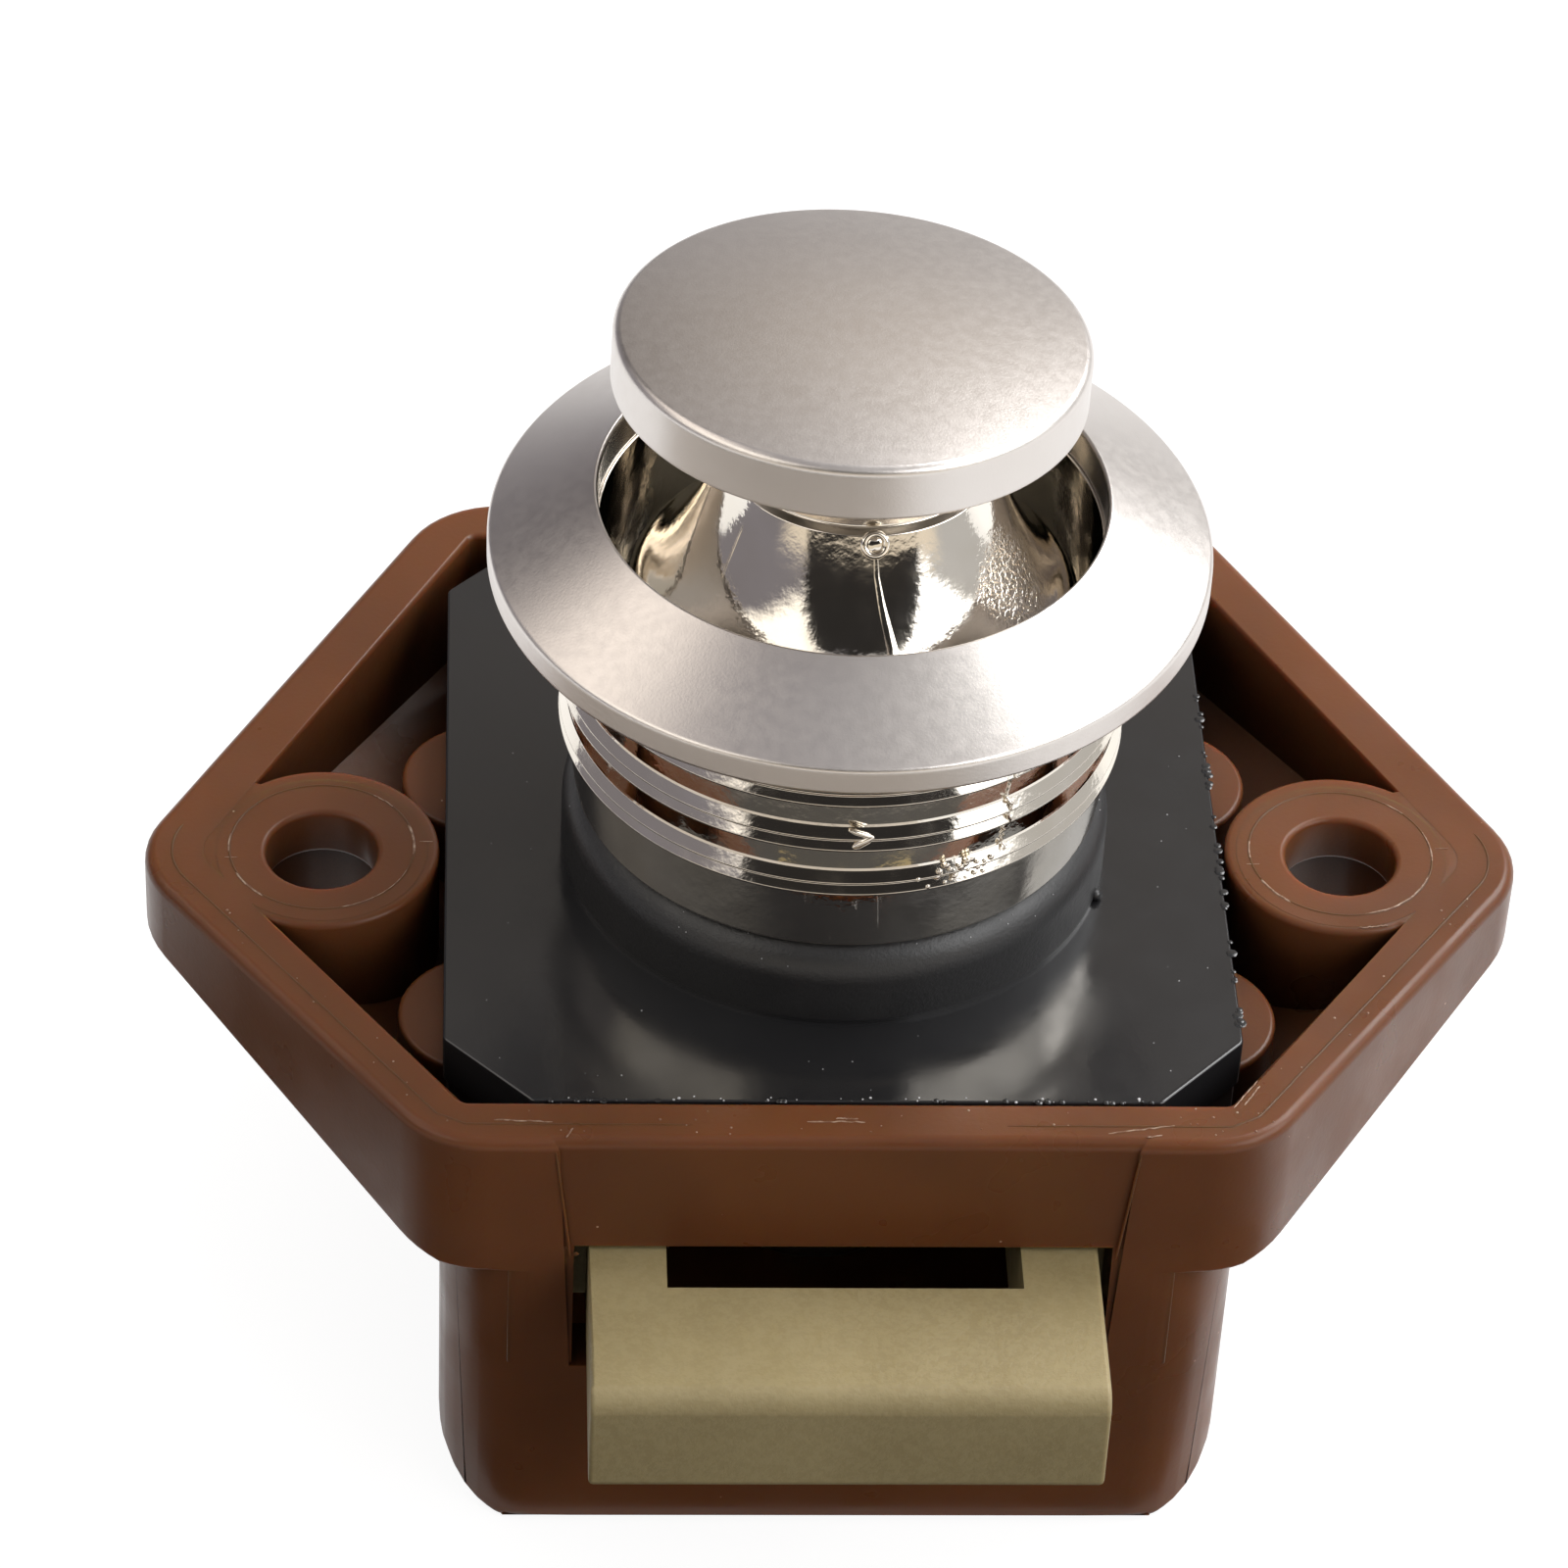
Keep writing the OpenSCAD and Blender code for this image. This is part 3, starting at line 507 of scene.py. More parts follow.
class Shapes:
    """Points and faces of several small shapes that make one mesh."""

    SECTION = 8
    END_SHARE = 0.4

    def __init__(self):
        self.points, self.faces = [], []

    def bead(self, path, width, height, shares=None):
        """Flattened bead along (place, normal) pairs; shares scale its sections."""
        sides = self.SECTION
        count = len(path)
        shares = shares or [self.END_SHARE] + [1.0] * (count - 2) + [self.END_SHARE]
        first = len(self.points)
        for i, (place, normal) in enumerate(path):
            ahead = path[min(i + 1, count - 1)][0] - path[max(i - 1, 0)][0]
            aside = ahead.cross(normal).normalized()
            for k in range(sides):
                turn = 2 * math.pi * k / sides
                self.points.append(place + shares[i] * (
                    aside * math.cos(turn) * width / 2 + normal * math.sin(turn) * height))
        for i in range(count - 1):
            low = first + i * sides
            for k in range(sides):
                n = (k + 1) % sides
                self.faces.append((low + k, low + n, low + sides + n, low + sides + k))
        self.faces.append(tuple(range(first, first + sides)))
        self.faces.append(tuple(range(first + (count - 1) * sides, first + count * sides)))

    def lump(self, place, normal, radius, height):
        """Low rounded lump on a surface."""
        aside = normal.orthogonal().normalized()
        spread = (-0.97, -0.7, 0.0, 0.7, 0.97)
        self.bead([(place + aside * radius * t, normal) for t in spread], 2 * radius, height,
                  [math.sqrt(1 - t * t) for t in spread])

    def mesh(self, name):
        mesh = mesh_from(name, self.points, self.faces)
        smooth(mesh, 60)
        return mesh


# CAD points this close are one, faces this level are one, and edges from this angle are round
MERGE_DIST = 0.002
FLAT_ANGLE = rad(0.4)
EDGE_ANGLE = rad(30)
CUT_DIST = 0.0001


def softened(node, name, weight, shape=None):
    """Copy of a CAD node's mesh with edges ready to round, cut by shape(work) where given.

    weight(middle of the edge) gives each sharp convex edge's share of the round's width."""
    mesh = frame["nodes"][node].data.copy()
    mesh.name = name
    work = bmesh.new()
    work.from_mesh(mesh)
    bmesh.ops.remove_doubles(work, verts=work.verts, dist=MERGE_DIST * MM)
    bmesh.ops.dissolve_degenerate(work, edges=work.edges, dist=MERGE_DIST * MM)
    bmesh.ops.dissolve_limit(work, angle_limit=FLAT_ANGLE, verts=work.verts, edges=work.edges)
    if shape:
        shape(work)
    layer = work.edges.layers.float.new("bevel_weight_edge")
    for edge in work.edges:
        if len(edge.link_faces) == 2 and edge.calc_face_angle(0) < EDGE_ANGLE:
            edge.smooth = True
            continue
        if edge.is_convex:
            a, b = (v.co / MM for v in edge.verts)
            edge[layer] = weight((a + b) / 2)
        edge.smooth = edge[layer] > 0
    for face in work.faces:
        face.smooth = True
    work.to_mesh(mesh)
    work.free()
    return mesh


def cut_round(work, hub, radius, first, last, steps, reach=math.inf):
    """Cuts a long edge to a round about hub, from direction first to last.

    Only faces that stay within reach of the middle in x are cut."""
    for k in range(steps):
        turn = math.pi / 2 * (k + 0.5) / steps
        out = first * math.cos(turn) + last * math.sin(turn)
        faces = [f for f in work.faces if all(abs(v.co.x) < reach * MM for v in f.verts)]
        # Dicts keep an order, so that every run gives the same mesh
        edges = dict.fromkeys(e for f in faces for e in f.edges)
        verts = dict.fromkeys(v for f in faces for v in f.verts)
        cut = bmesh.ops.bisect_plane(
            work, geom=[*verts, *edges, *faces], dist=CUT_DIST * MM,
            plane_co=(hub + out * radius) * MM, plane_no=out, clear_outer=True)
        rim = [e for e in cut["geom_cut"] if isinstance(e, bmesh.types.BMEdge)]
        bmesh.ops.contextual_create(work, geom=rim)


def round_edges(made, width, segments):
    """Rounds the edges that softened has weighed."""
    bevel = made.modifiers.new("round", "BEVEL")
    bevel.width = width * MM
    bevel.segments = segments
    bevel.limit_method = "WEIGHT"
    bevel.use_clamp_overlap = False
    bevel.harden_normals = False
    even = made.modifiers.new("even", "WEIGHTED_NORMAL")
    even.keep_sharp = True
    even.weight = 100


# Case

CASE_LOW, CASE_HIGH = box_mm("lock_case")
FRONT_WALL = CASE_LOW.y
CORNER_X = 18.5
TIP_R = 4.6
RIM_T = 2.7
RIM_MIDDLE = 1.5
TIP = Vector((CASE_HIGH.x - TIP_R, 0.0))
SCREW_X = 23.8
BOX_HALF = 18.2
# Width of the case's rounds, and the share of it at inner edges
CASE_ROUND = 0.55
INNER_SHARE = 0.5
# Rounds of the box's long lower edges
FOOT_R = 4.2
FOOT_STEPS = 10
# Parts of the case with sharp edges: the faint panel in front, the rails inside, and the
# screw bosses' own edges, which lie under their wider walls
PANEL_HALF = 14
INSIDE_TOP, INSIDE_HALF, INSIDE_FRONT, INSIDE_BACK = -9, 17, -18, 25
BOSS_EDGE_MIN, BOSS_EDGE_MAX = 4, 5.6


def slant_normal(corner_y):
    """Outward direction of the rim's slanted side, from the corner at corner_y to the tip."""
    corner = Vector((CORNER_X, corner_y)) - TIP
    turn = math.acos(TIP_R / corner.length)
    angle = math.atan2(corner.y, corner.x) - math.copysign(turn, corner_y)
    return Vector((math.cos(angle), math.sin(angle)))


SLANTS = [slant_normal(CASE_LOW.y), slant_normal(CASE_HIGH.y)]


def rim_depth(x, y):
    """How far a point of the rim plane lies inside the case's outline."""
    place = Vector((abs(x), y))
    return min(y - CASE_LOW.y, CASE_HIGH.y - y,
               *(TIP_R - (place - TIP).dot(normal) for normal in SLANTS))


def case_weight(middle):
    """The outer rim is the softest; the faint panel and the rails inside stay sharp."""
    if middle.y < FRONT_WALL + 0.5 and abs(middle.x) < PANEL_HALF and middle.z < -0.05:
        return 0.0
    if (middle.z < INSIDE_TOP and abs(middle.x) < INSIDE_HALF
            and INSIDE_FRONT < middle.y < INSIDE_BACK):
        return 0.0
    if middle.z > -0.5:
        inner = rim_depth(middle.x, middle.y) > RIM_MIDDLE
        screw = math.hypot(abs(middle.x) - SCREW_X, middle.y)
        if inner and BOSS_EDGE_MIN < screw < BOSS_EDGE_MAX:
            return 0.0
        return INNER_SHARE if inner else 1.0
    return INNER_SHARE


def round_foot(work):
    """Cuts the two long lower edges of the box to rounds."""
    for side in (-1, 1):
        hub = Vector((side * (BOX_HALF - FOOT_R), 0, CASE_LOW.z + FOOT_R))
        cut_round(work, hub, FOOT_R, Vector((side, 0, 0)), Vector((0, 0, -1)), FOOT_STEPS,
                  reach=CORNER_X + 0.2)


case_mesh = softened("lock_case", "case_shell", case_weight, round_foot)
case = piece("case_shell", case_mesh, "case", "case_plastic", replaces=["lock_case"])
round_edges(case, CASE_ROUND, 4)


# The screw bosses are a little wider than the solids' and merge with the rim at the tips

BOSS_FILL_R = 5.45
BOSS_FILL_IN_R = 4.7
BOSS_FILL_Y = 0.2
BOSS_FILL_TOP = -0.012
BOSS_FILL_ROUND = 0.3
BOSS_FILL_STEPS = 96
# How far the wall goes into the rim at its slanted sides, and from the screw at the tip
INTO_RIM = 0.4
TIP_REACH = 6.2
# The wing's floor slants by this drop, from its depth at the tip; half its thickness
WING_DEPTH, WING_DROP, WING_HALF_T = 4.2, 3.9, 0.6


def wing_floor(x):
    """Height in the middle of the wing's slanted floor."""
    share = (CASE_HIGH.x - abs(x)) / (CASE_HIGH.x - BOX_HALF)
    return -WING_DEPTH - share * WING_DROP + WING_HALF_T


def boss_wall(turn, back):
    """Point of the right boss's wall at an angle, back from its outer face."""
    hub = Vector((SCREW_X, BOSS_FILL_Y))
    out = Vector((math.cos(turn), math.sin(turn)))
    far = BOSS_FILL_R
    for normal in SLANTS:
        slope = out.dot(normal)
        gap = TIP_R - RIM_T - (hub - TIP).dot(normal)
        if slope > 0 and gap / slope < BOSS_FILL_R:
            far = (gap + INTO_RIM) / slope
    if abs(turn) < rad(10):
        far = TIP_REACH
    return hub + out * (far - back)


def boss_fill(side):
    """Wall round a screw boss, which fills the slot between the boss and the rim's tip."""
    count = BOSS_FILL_STEPS
    turns = [2 * math.pi * k / count - math.pi for k in range(count)]
    rows = []
    for k in range(5):
        turn = math.pi / 2 * k / 4
        back = BOSS_FILL_ROUND * (1 - math.sin(turn))
        z = BOSS_FILL_TOP - BOSS_FILL_ROUND * (1 - math.cos(turn))
        rows.append([(*boss_wall(t, back), z) for t in turns])
    outer = [boss_wall(t, 0) for t in turns]
    inner = [Vector((SCREW_X, BOSS_FILL_Y)) + BOSS_FILL_IN_R * Vector((math.cos(t), math.sin(t)))
             for t in turns]
    rows.append([(*flat, wing_floor(flat.x)) for flat in outer])
    rows.append([(*flat, wing_floor(flat.x)) for flat in inner])
    rows.append([(*flat, BOSS_FILL_TOP) for flat in inner])
    faces = []
    for i in range(len(rows)):
        low, high = i * count, (i + 1) % len(rows) * count
        for k in range(count):
            n = (k + 1) % count
            faces.append((low + k, low + n, high + n, high + k))
    mesh = mesh_from("boss_fill", [(side * x, y, z) for row in rows for x, y, z in row], faces)
    smooth(mesh, 50)
    return mesh


for side, hand in SIDES:
    piece(f"boss_fill_{hand}", boss_fill(side), "case", "case_plastic")


# Cover plate with its boss

PLATE_ROUND = 0.12


def plate_weight(middle):
    """Only the upper edges are round."""
    return 1.0 if middle.z > -0.6 else 0.0


plate_mesh = softened("cover_plate", "cover_panel", plate_weight)
plate = piece("cover_panel", plate_mesh, "case", "black_plastic", replaces=["cover_plate"])
round_edges(plate, PLATE_ROUND, 2)


# Bolt

BOLT_LOW, BOLT_HIGH = box_mm("latch_bolt")
NOSE_R = 1.1
NOSE_STEPS = 6
NOSE_BACK = -17
BOLT_ROUND = 0.22


def bolt_weight(middle):
    """Only the nose is soft, not what is inside the case."""
    return 1.0 if middle.y < NOSE_BACK else 0.0


def round_nose(work):
    """Cuts the nose's upper front edge to a round."""
    hub = Vector((0, BOLT_LOW.y + NOSE_R, BOLT_HIGH.z - NOSE_R))
    cut_round(work, hub, NOSE_R, FRONT, UP, NOSE_STEPS)


bolt_mesh = softened("latch_bolt", "bolt_block", bolt_weight, round_nose)
bolt = piece("bolt_block", bolt_mesh, "bolt", "bolt_plastic", replaces=["latch_bolt"])
round_edges(bolt, BOLT_ROUND, 3)


# Rosette: conical ring and ribbed sleeve

RIM_H = 1.35
# The sleeve's seat inside the ring, and the thickness of the ring above it
SEAT_R, SEAT_T = 12.65, 1.95


def rosette_ring():
    low, high = box_mm("rosette_ring")
    rim, foot, top = high.x, low.z, high.z
    return lathe("ring_cone", fillet_profile([
        (SEAT_R, foot, 0.1), (rim, foot, 0.18), (rim, foot + RIM_H, 0.3),
        (MOUTH_R + 0.1, top, 0.09), (MOUTH_R, top - 0.25, 0.1), (MOUTH_R, top - SEAT_T, 0.05),
        (SEAT_R, top - SEAT_T, 0.05),
    ]))


piece("ring_cone", rosette_ring(), "case", "satin_nickel", replaces=["rosette_ring"])


SLEEVE_LOW, SLEEVE_HIGH = box_mm("rosette_collar")
SLEEVE_R = 12.6
SLEEVE_BORE_R = 11.3
# Height of the sleeve below the ring
SLEEVE_H = 12.6
# Inner lip at the foot: its width and thickness
LIP_W, LIP_T = 1.4, 1.2
# The plain band widens upward a little
BAND_DRAW = 0.4
RIB_START, RIB_PITCH, RIB_W = 3.7, 2.6, 1.35
RIB_COUNT = 3
# A rib's face from foot to top: share of its width, depth under its peak, fillet radius
RIB_FACE = [(0.0, 0.03, 0.03), (0.08, 0.0, 0.05), (0.35, 0.24, 0.04), (0.42, 0.24, 0.03),
            (0.5, 0.03, 0.03), (0.56, 0.01, 0.05), (0.92, 0.33, 0.04)]


def rosette_collar():
    inner, foot, top = SLEEVE_BORE_R, SLEEVE_LOW.z, SLEEVE_HIGH.z
    corners = [(inner - LIP_W, foot, 0.1), (SLEEVE_R - BAND_DRAW, foot, 0.2)]
    for k in range(RIB_COUNT):
        z = foot + RIB_START + RIB_PITCH * k
        corners.append((SLEEVE_R, z, 0.04))
        corners += [(SLEEVE_HIGH.x - depth, z + RIB_W * share, fillet)
                    for share, depth, fillet in RIB_FACE]
        corners.append((SLEEVE_R, z + RIB_W + 0.02, 0.04))
    corners += [(SLEEVE_R, foot + SLEEVE_H, 0.05), (SLEEVE_R, top, 0.05), (inner, top, 0.05),
                (inner, foot + LIP_T, 0.1), (inner - LIP_W, foot + LIP_T, 0.1)]
    return lathe("sleeve_ribs", fillet_profile(corners, 5, 0.01))


piece("sleeve_ribs", rosette_collar(), "case", "bright_nickel", replaces=["rosette_collar"])


# Knob: satin cap over a polished bell

CAP_LOW, CAP_HIGH = box_mm("knob_cap")
CAP_CROWN = 0.95
CAP_ROUND = 0.42
CAP_STEPS = 26
INSERT_R, INSERT_H = 3.0, 2.2
# How the cap sits on the leaning knob
CAP_SHIFT = Vector((-0.4, 0, -0.35))
CAP_ROLL = rad(1.5)


def knob_cap():
    rim, foot, top = CAP_HIGH.x, CAP_LOW.z, CAP_HIGH.z
    edge = top - CAP_CROWN
    crown_r = (rim ** 2 + CAP_CROWN ** 2) / (2 * CAP_CROWN)

    def crown(k):
        r = (rim - CAP_ROUND * 1.6) * k / CAP_STEPS
        return r, top - crown_r + math.sqrt(crown_r ** 2 - r ** 2)

    corners = [(INSERT_R, foot, 0), (rim, foot, 0.18), (rim, edge, CAP_ROUND)]
    corners += [(*crown(k), 0) for k in range(CAP_STEPS, -1, -1)]
    corners += [(0.0, foot + INSERT_H, 0), (INSERT_R, foot + INSERT_H, 0)]
    return lathe("cap_dome", fillet_profile(corners, 8, 0.02))


piece("cap_dome", leaned(knob_cap(), CAP_SHIFT, CAP_ROLL), "knob", "satin_nickel",
      replaces=["knob_cap"])


BELL_LOW, BELL_HIGH = box_mm("knob_skirt")
BELL_NECK = 5.5
BELL_STEP = 0.4
BELL_TOP = 7.55
BELL_BORE_R = 2.1
# Hollow underside, round the plunger
HOLLOW_R, HOLLOW_H = 6.1, 1.5
# The side flares from the neck to a rolled lip
BELL_STEEP = rad(66)
BELL_FLAT = rad(38)
SIDE_STEPS = 30
ROLL_IN = 1.0
ROLL_TOP = 2.05
ROLL_STEPS = 10
BELL_SHIFT = Vector((0.15, 0, 0))


def bell_side():
    """Points down the side, from the neck's ring over the rolled lip."""
    a = Vector((BELL_NECK + BELL_STEP, BELL_LOW.z + BELL_TOP))
    c = Vector((BELL_HIGH.x - ROLL_IN, BELL_LOW.z + ROLL_TOP))
    rise = (c - a).x * math.tan(BELL_FLAT)
    reach = (a.y - c.y - rise) / (math.tan(BELL_STEEP) - math.tan(BELL_FLAT))
    b = a + reach * Vector((1, -math.tan(BELL_STEEP)))
    side = [a * (1 - t) ** 2 + b * 2 * t * (1 - t) + c * t ** 2
            for t in (k / SIDE_STEPS for k in range(SIDE_STEPS + 1))]
    roll = ROLL_IN / (1 - math.sin(BELL_FLAT))
    hub = c - roll * Vector((math.sin(BELL_FLAT), math.cos(BELL_FLAT)))
    for k in range(1, ROLL_STEPS + 1):
        turn = BELL_FLAT + (math.pi / 2 - BELL_FLAT) * k / ROLL_STEPS
        side.append(hub + roll * Vector((math.sin(turn), math.cos(turn))))
    return side


BELL_SIDE = bell_side()


def knob_bell():
    skirt, foot, top = BELL_HIGH.x, BELL_LOW.z, BELL_HIGH.z
    start = BELL_SIDE[0]
    inner = [(BELL_BORE_R, top), (BELL_BORE_R, foot + HOLLOW_H), (HOLLOW_R, foot + HOLLOW_H),
             (HOLLOW_R, foot), (skirt - 0.12, foot), (skirt, foot + 0.1)]
    neck = fillet_profile([
        (*BELL_SIDE[1], 0), (*start, 0.12), (BELL_NECK, start.y + 0.2, 0.15),
        (BELL_NECK, top, 0)], 5, 0.01)[1:]
    return lathe("bell_skirt", [Vector(p) for p in inner] + BELL_SIDE[:1:-1] + neck)


piece("bell_skirt", leaned(knob_bell(), BELL_SHIFT), "knob", "bright_nickel",
      replaces=["knob_skirt"])


# Springs

def spring(node, letter, fixed):
    """Copy of a spring's node in steel at its full length; its axis and fixed end, in metres,
    give an anchor that is not used.
    """
    axis = Vector([letter == name for name in "xyz"])
    low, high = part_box(node)
    free = max((low.dot(axis), high.dot(axis)), key=lambda end: abs(end - fixed))
    anchor = (low + high) / 2
    anchor += axis * (fixed - anchor.dot(axis))
    mesh = frame["nodes"][node].data.copy()
    mesh.name = node + "_wire"
    smooth(mesh, 60)
    made = piece(node + "_wire", mesh, "case", "steel", replaces=[node])
    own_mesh(made)


for joint in frame["record"]["behaviour"]["joints"]:
    for soft in joint.get("deforming_nodes", []):
        letter = soft["mode"][-1]
        spring(soft["node"], letter, soft[f"fixed_end_{letter}_m"])


# Marks on the rim: witness lines of the mould, flash and scratches

WITNESS_IN = 1.25
WITNESS_W, WITNESS_H = 0.1, 0.03
CIRCLE_R = 4.3
SCUFF_H = 0.035
SCUFF_R = (0.03, 0.07)
# Arcs of flash round the screw holes, in degrees
FLASH_ARCS = ((-80, -20), (-8, 22), (40, 58), (168, 186), (205, 232))


def flat_path(points, jitter=0.0):
    """Bead path on the rim plane."""
    return [(Vector((x, y + rng.uniform(-jitter, jitter), 0)), UP) for x, y in points]


def along(a, b, count):
    """Points on the straight line from a to b."""
    return [tuple(Vector(a).lerp(Vector(b), k / (count - 1))) for k in range(count)]


def arc(x, y, radius, first, last, count):
    """Points on an arc about (x, y), between two angles in degrees."""
    return [(x + radius * math.cos(rad(first + (last - first) * k / (count - 1))),
             y + radius * math.sin(rad(first + (last - first) * k / (count - 1))))
            for k in range(count)]


def slant_point(share, depth):
    """Point on the front slanted side of the rim: its share of the way to the tip."""
    place = Vector((CORNER_X, CASE_LOW.y)).lerp(TIP + TIP_R * SLANTS[0], share)
    return place - SLANTS[0] * depth


def rim_line(side):
    """Witness line along the front slanted side and round the tip."""
    normal = SLANTS[0]
    reach = TIP_R - WITNESS_IN
    y = CASE_LOW.y + WITNESS_IN
    x = TIP.x + (reach - y * normal.y) / normal.x
    touch = TIP + reach * normal
    start = math.degrees(math.atan2(normal.y, normal.x))
    points = along((7, y), (x - 0.8, y), 10) + along((x + 0.5, y + 0.7), touch, 24)
    points += arc(TIP.x, 0, reach, start + 4, 30, 16)
    return [(side * a, b) for a, b in points]


RIM_SCRATCHES = (
    ((-1.9, -17.92), (0.7, -17.95)), ((-0.6, -17.7), (0.4, -17.72)),
    ((11.5, -18.62), (14.5, -18.08)), ((13.2, -18.85), (13.9, -18.72)),
    (slant_point(0.06, 2.5), slant_point(0.16, 2.55)),
    (slant_point(0.08, 2.2), slant_point(0.15, 2.3)),
    ((-15.8, -17.9), (-13.2, -18.0)), ((-12.6, -19.0), (-12.3, -18.4)),
    ((24.1, -4.97), (25.5, -4.78)),
)


def rim_marks():
    """Witness lines, and the flash and scratches beside them."""
    witness, scuffs = Shapes(), Shapes()
    for side in (-1, 1):
        witness.bead(flat_path(rim_line(side), 0.012), WITNESS_W, WITNESS_H)
        hub = (side * SCREW_X, BOSS_FILL_Y)
        witness.bead(flat_path(arc(*hub, CIRCLE_R, 0, 360, 72)), WITNESS_W, WITNESS_H)
        for first, last in FLASH_ARCS:
            radius = CIRCLE_R + rng.uniform(-0.03, 0.03)
            path = flat_path(arc(*hub, radius, first, last, 14), 0.02)
            scuffs.bead(path, rng.uniform(0.06, 0.12), SCUFF_H)
        for place, normal in flat_path(arc(*hub, CIRCLE_R + 0.25, 5, 190, 2)):
            scuffs.bead([(place, normal), (place + Vector((0.6, 0, 0)), normal)], 0.1, 0.04)
    for a, b in RIM_SCRATCHES:
        scuffs.bead(flat_path(along(a, b, 14), 0.035), 0.07, SCUFF_H)
    for k in range(30):
        x, y = rng.uniform(-18, 19), rng.uniform(-18.9, -17.0)
        scuffs.lump(Vector((x, y, 0)), UP, rng.uniform(*SCUFF_R), SCUFF_H)
    for k in range(26):
        place = slant_point(rng.uniform(0.05, 0.95), rng.uniform(0.8, 2.3))
        scuffs.lump(Vector((rng.choice((-1, 1)) * place.x, place.y, 0)), UP,
                    rng.uniform(*SCUFF_R), SCUFF_H)
    return witness, scuffs


# Lines of the faint panel over the bolt: side, x at the foot and x at the head
PANEL_LINES = ((-1, 12.3, 13.05), (1, 12.3, 12.95))
PANEL_STEPS = 11


def panel_marks():
    """Lines of the faint panel, with a small pit at the left one's foot."""
    marks = Shapes()
    for side, foot, head in PANEL_LINES:
        path = []
        for k in range(PANEL_STEPS + 1):
            x = head + (foot - head) * k / PANEL_STEPS
            path.append((Vector((side * x, FRONT_WALL, -0.55 - 6.6 * k / PANEL_STEPS)), FRONT))
        marks.bead(path, 0.13, 0.06)
    marks.bead([(Vector((-12.05, FRONT_WALL - 0.02, -7.0 + 0.1 * k)), FRONT)
                for k in range(3)], 0.3, 0.05)
    return marks


# Strips at both sides of the bolt's opening
OPEN_HALF, OPEN_TOP, OPEN_FOOT = 12.15, -6.6, -14.1
BOLT_SIDE_GAP = 0.1
# How far a strip goes into the side of the opening, and how far back its ends are
INTO_SIDE = 0.3
STRIP_FRONT, STRIP_BACK = 0.12, 0.3
STRIP_ROUND = 0.06


def opening_strip(side):
    inner, outer = BOLT_HIGH.x + BOLT_SIDE_GAP, OPEN_HALF + INTO_SIDE
    front, back = FRONT_WALL + STRIP_FRONT, FRONT_WALL + RIM_T - STRIP_BACK
    corners = [(inner, front), (outer, front), (outer, back), (inner, back)]
    points = [(side * x, y, z) for z in (OPEN_TOP, OPEN_FOOT) for x, y in corners]
    faces = [(0, 1, 2, 3), (4, 5, 6, 7), (0, 1, 5, 4), (1, 2, 6, 5), (2, 3, 7, 6), (3, 0, 4, 7)]
    mesh = mesh_from("opening_strip", points, faces)
    work = bmesh.new()
    work.from_mesh(mesh)
    bmesh.ops.bevel(work, geom=work.edges[:], offset=STRIP_ROUND * MM, segments=2,
                    profile=0.5, affect="EDGES")
    work.to_mesh(mesh)
    work.free()
    smooth(mesh, 50)
    return mesh


PLATE_TOP = -0.1
PLATE_SIDE = 18.1
PLATE_FRONT = FRONT_WALL + RIM_T + 0.15
BOSS_TOP = 4.2
# The boss's top edge is round from this radius outward
BOSS_FLAT_R, BOSS_ROUND = 10.8, 1.9
# One large burr at the boss's foot: azimuth and distance from the axis
BURR_AZIMUTH, BURR_R = rad(71), 12.75


def plate_marks():
    """Ragged edges and burrs of the cover plate, and dust on it."""
    burrs, dust = Shapes(), Shapes()
    for k in range(40):
        place = Vector((PLATE_SIDE - rng.uniform(0.0, 0.12), rng.uniform(-12.4, 12), PLATE_TOP))
        burrs.lump(place, UP, rng.uniform(0.08, 0.3), rng.uniform(0.02, 0.04))
    for k in range(30):
        place = Vector((rng.uniform(-14, 14), PLATE_FRONT + rng.uniform(0.0, 0.1), PLATE_TOP))
        burrs.lump(place, UP, rng.uniform(0.06, 0.2), rng.uniform(0.03, 0.09))
    for k in range(26):
        place = Vector((rng.uniform(-14, 14), PLATE_FRONT + rng.uniform(0.0, 0.3), PLATE_TOP))
        dust.lump(place, UP, rng.uniform(0.03, 0.08), 0.04)
    for k in range(70):
        place = Vector((rng.uniform(-17, 17), rng.uniform(-16, 16), PLATE_TOP))
        if math.hypot(place.x, place.y - AXIS_Y) > BOSS_R + 0.4:
            dust.lump(place, UP, rng.uniform(0.015, 0.04), 0.03)
    out = Vector((math.sin(BURR_AZIMUTH), -math.cos(BURR_AZIMUTH), 0))
    burrs.lump(out * BURR_R + Vector((0, AXIS_Y, 0.15)), (out + UP).normalized(), 0.32, 0.3)
    for k in range(40):
        turn, radius = rng.uniform(0, 2 * math.pi), rng.uniform(11.6, 12.6)
        drop = max(radius - BOSS_FLAT_R, 0)
        z = BOSS_TOP - BOSS_ROUND + math.sqrt(BOSS_ROUND ** 2 - drop ** 2)
        dust.lump(Vector((radius * math.cos(turn), AXIS_Y + radius * math.sin(turn), z)),
                  UP, rng.uniform(0.02, 0.045), 0.03)
    return burrs, dust


def collar_place(angle, z):
    """Place on the sleeve and its outward direction; the angle is from +X in degrees."""
    rise = z - SLEEVE_LOW.z - RIB_START
    if rise < 0:
        r = SLEEVE_R + BAND_DRAW * rise / RIB_START
    else:
        on_rib = rise % RIB_PITCH < RIB_W
        r = SLEEVE_HIGH.x - 0.05 if on_rib else SLEEVE_R
    out = Vector((math.cos(rad(angle)), math.sin(rad(angle)), 0))
    return out * r + Vector((0, AXIS_Y, z)), out


# Corners of the gate mark on the middle rib: angle and height, and its two strokes' widths
GATE = ((-91.4, 11.8), (-86.6, 11.4), (-90.4, 10.75))
GATE_STROKES = (0.26, 0.4)


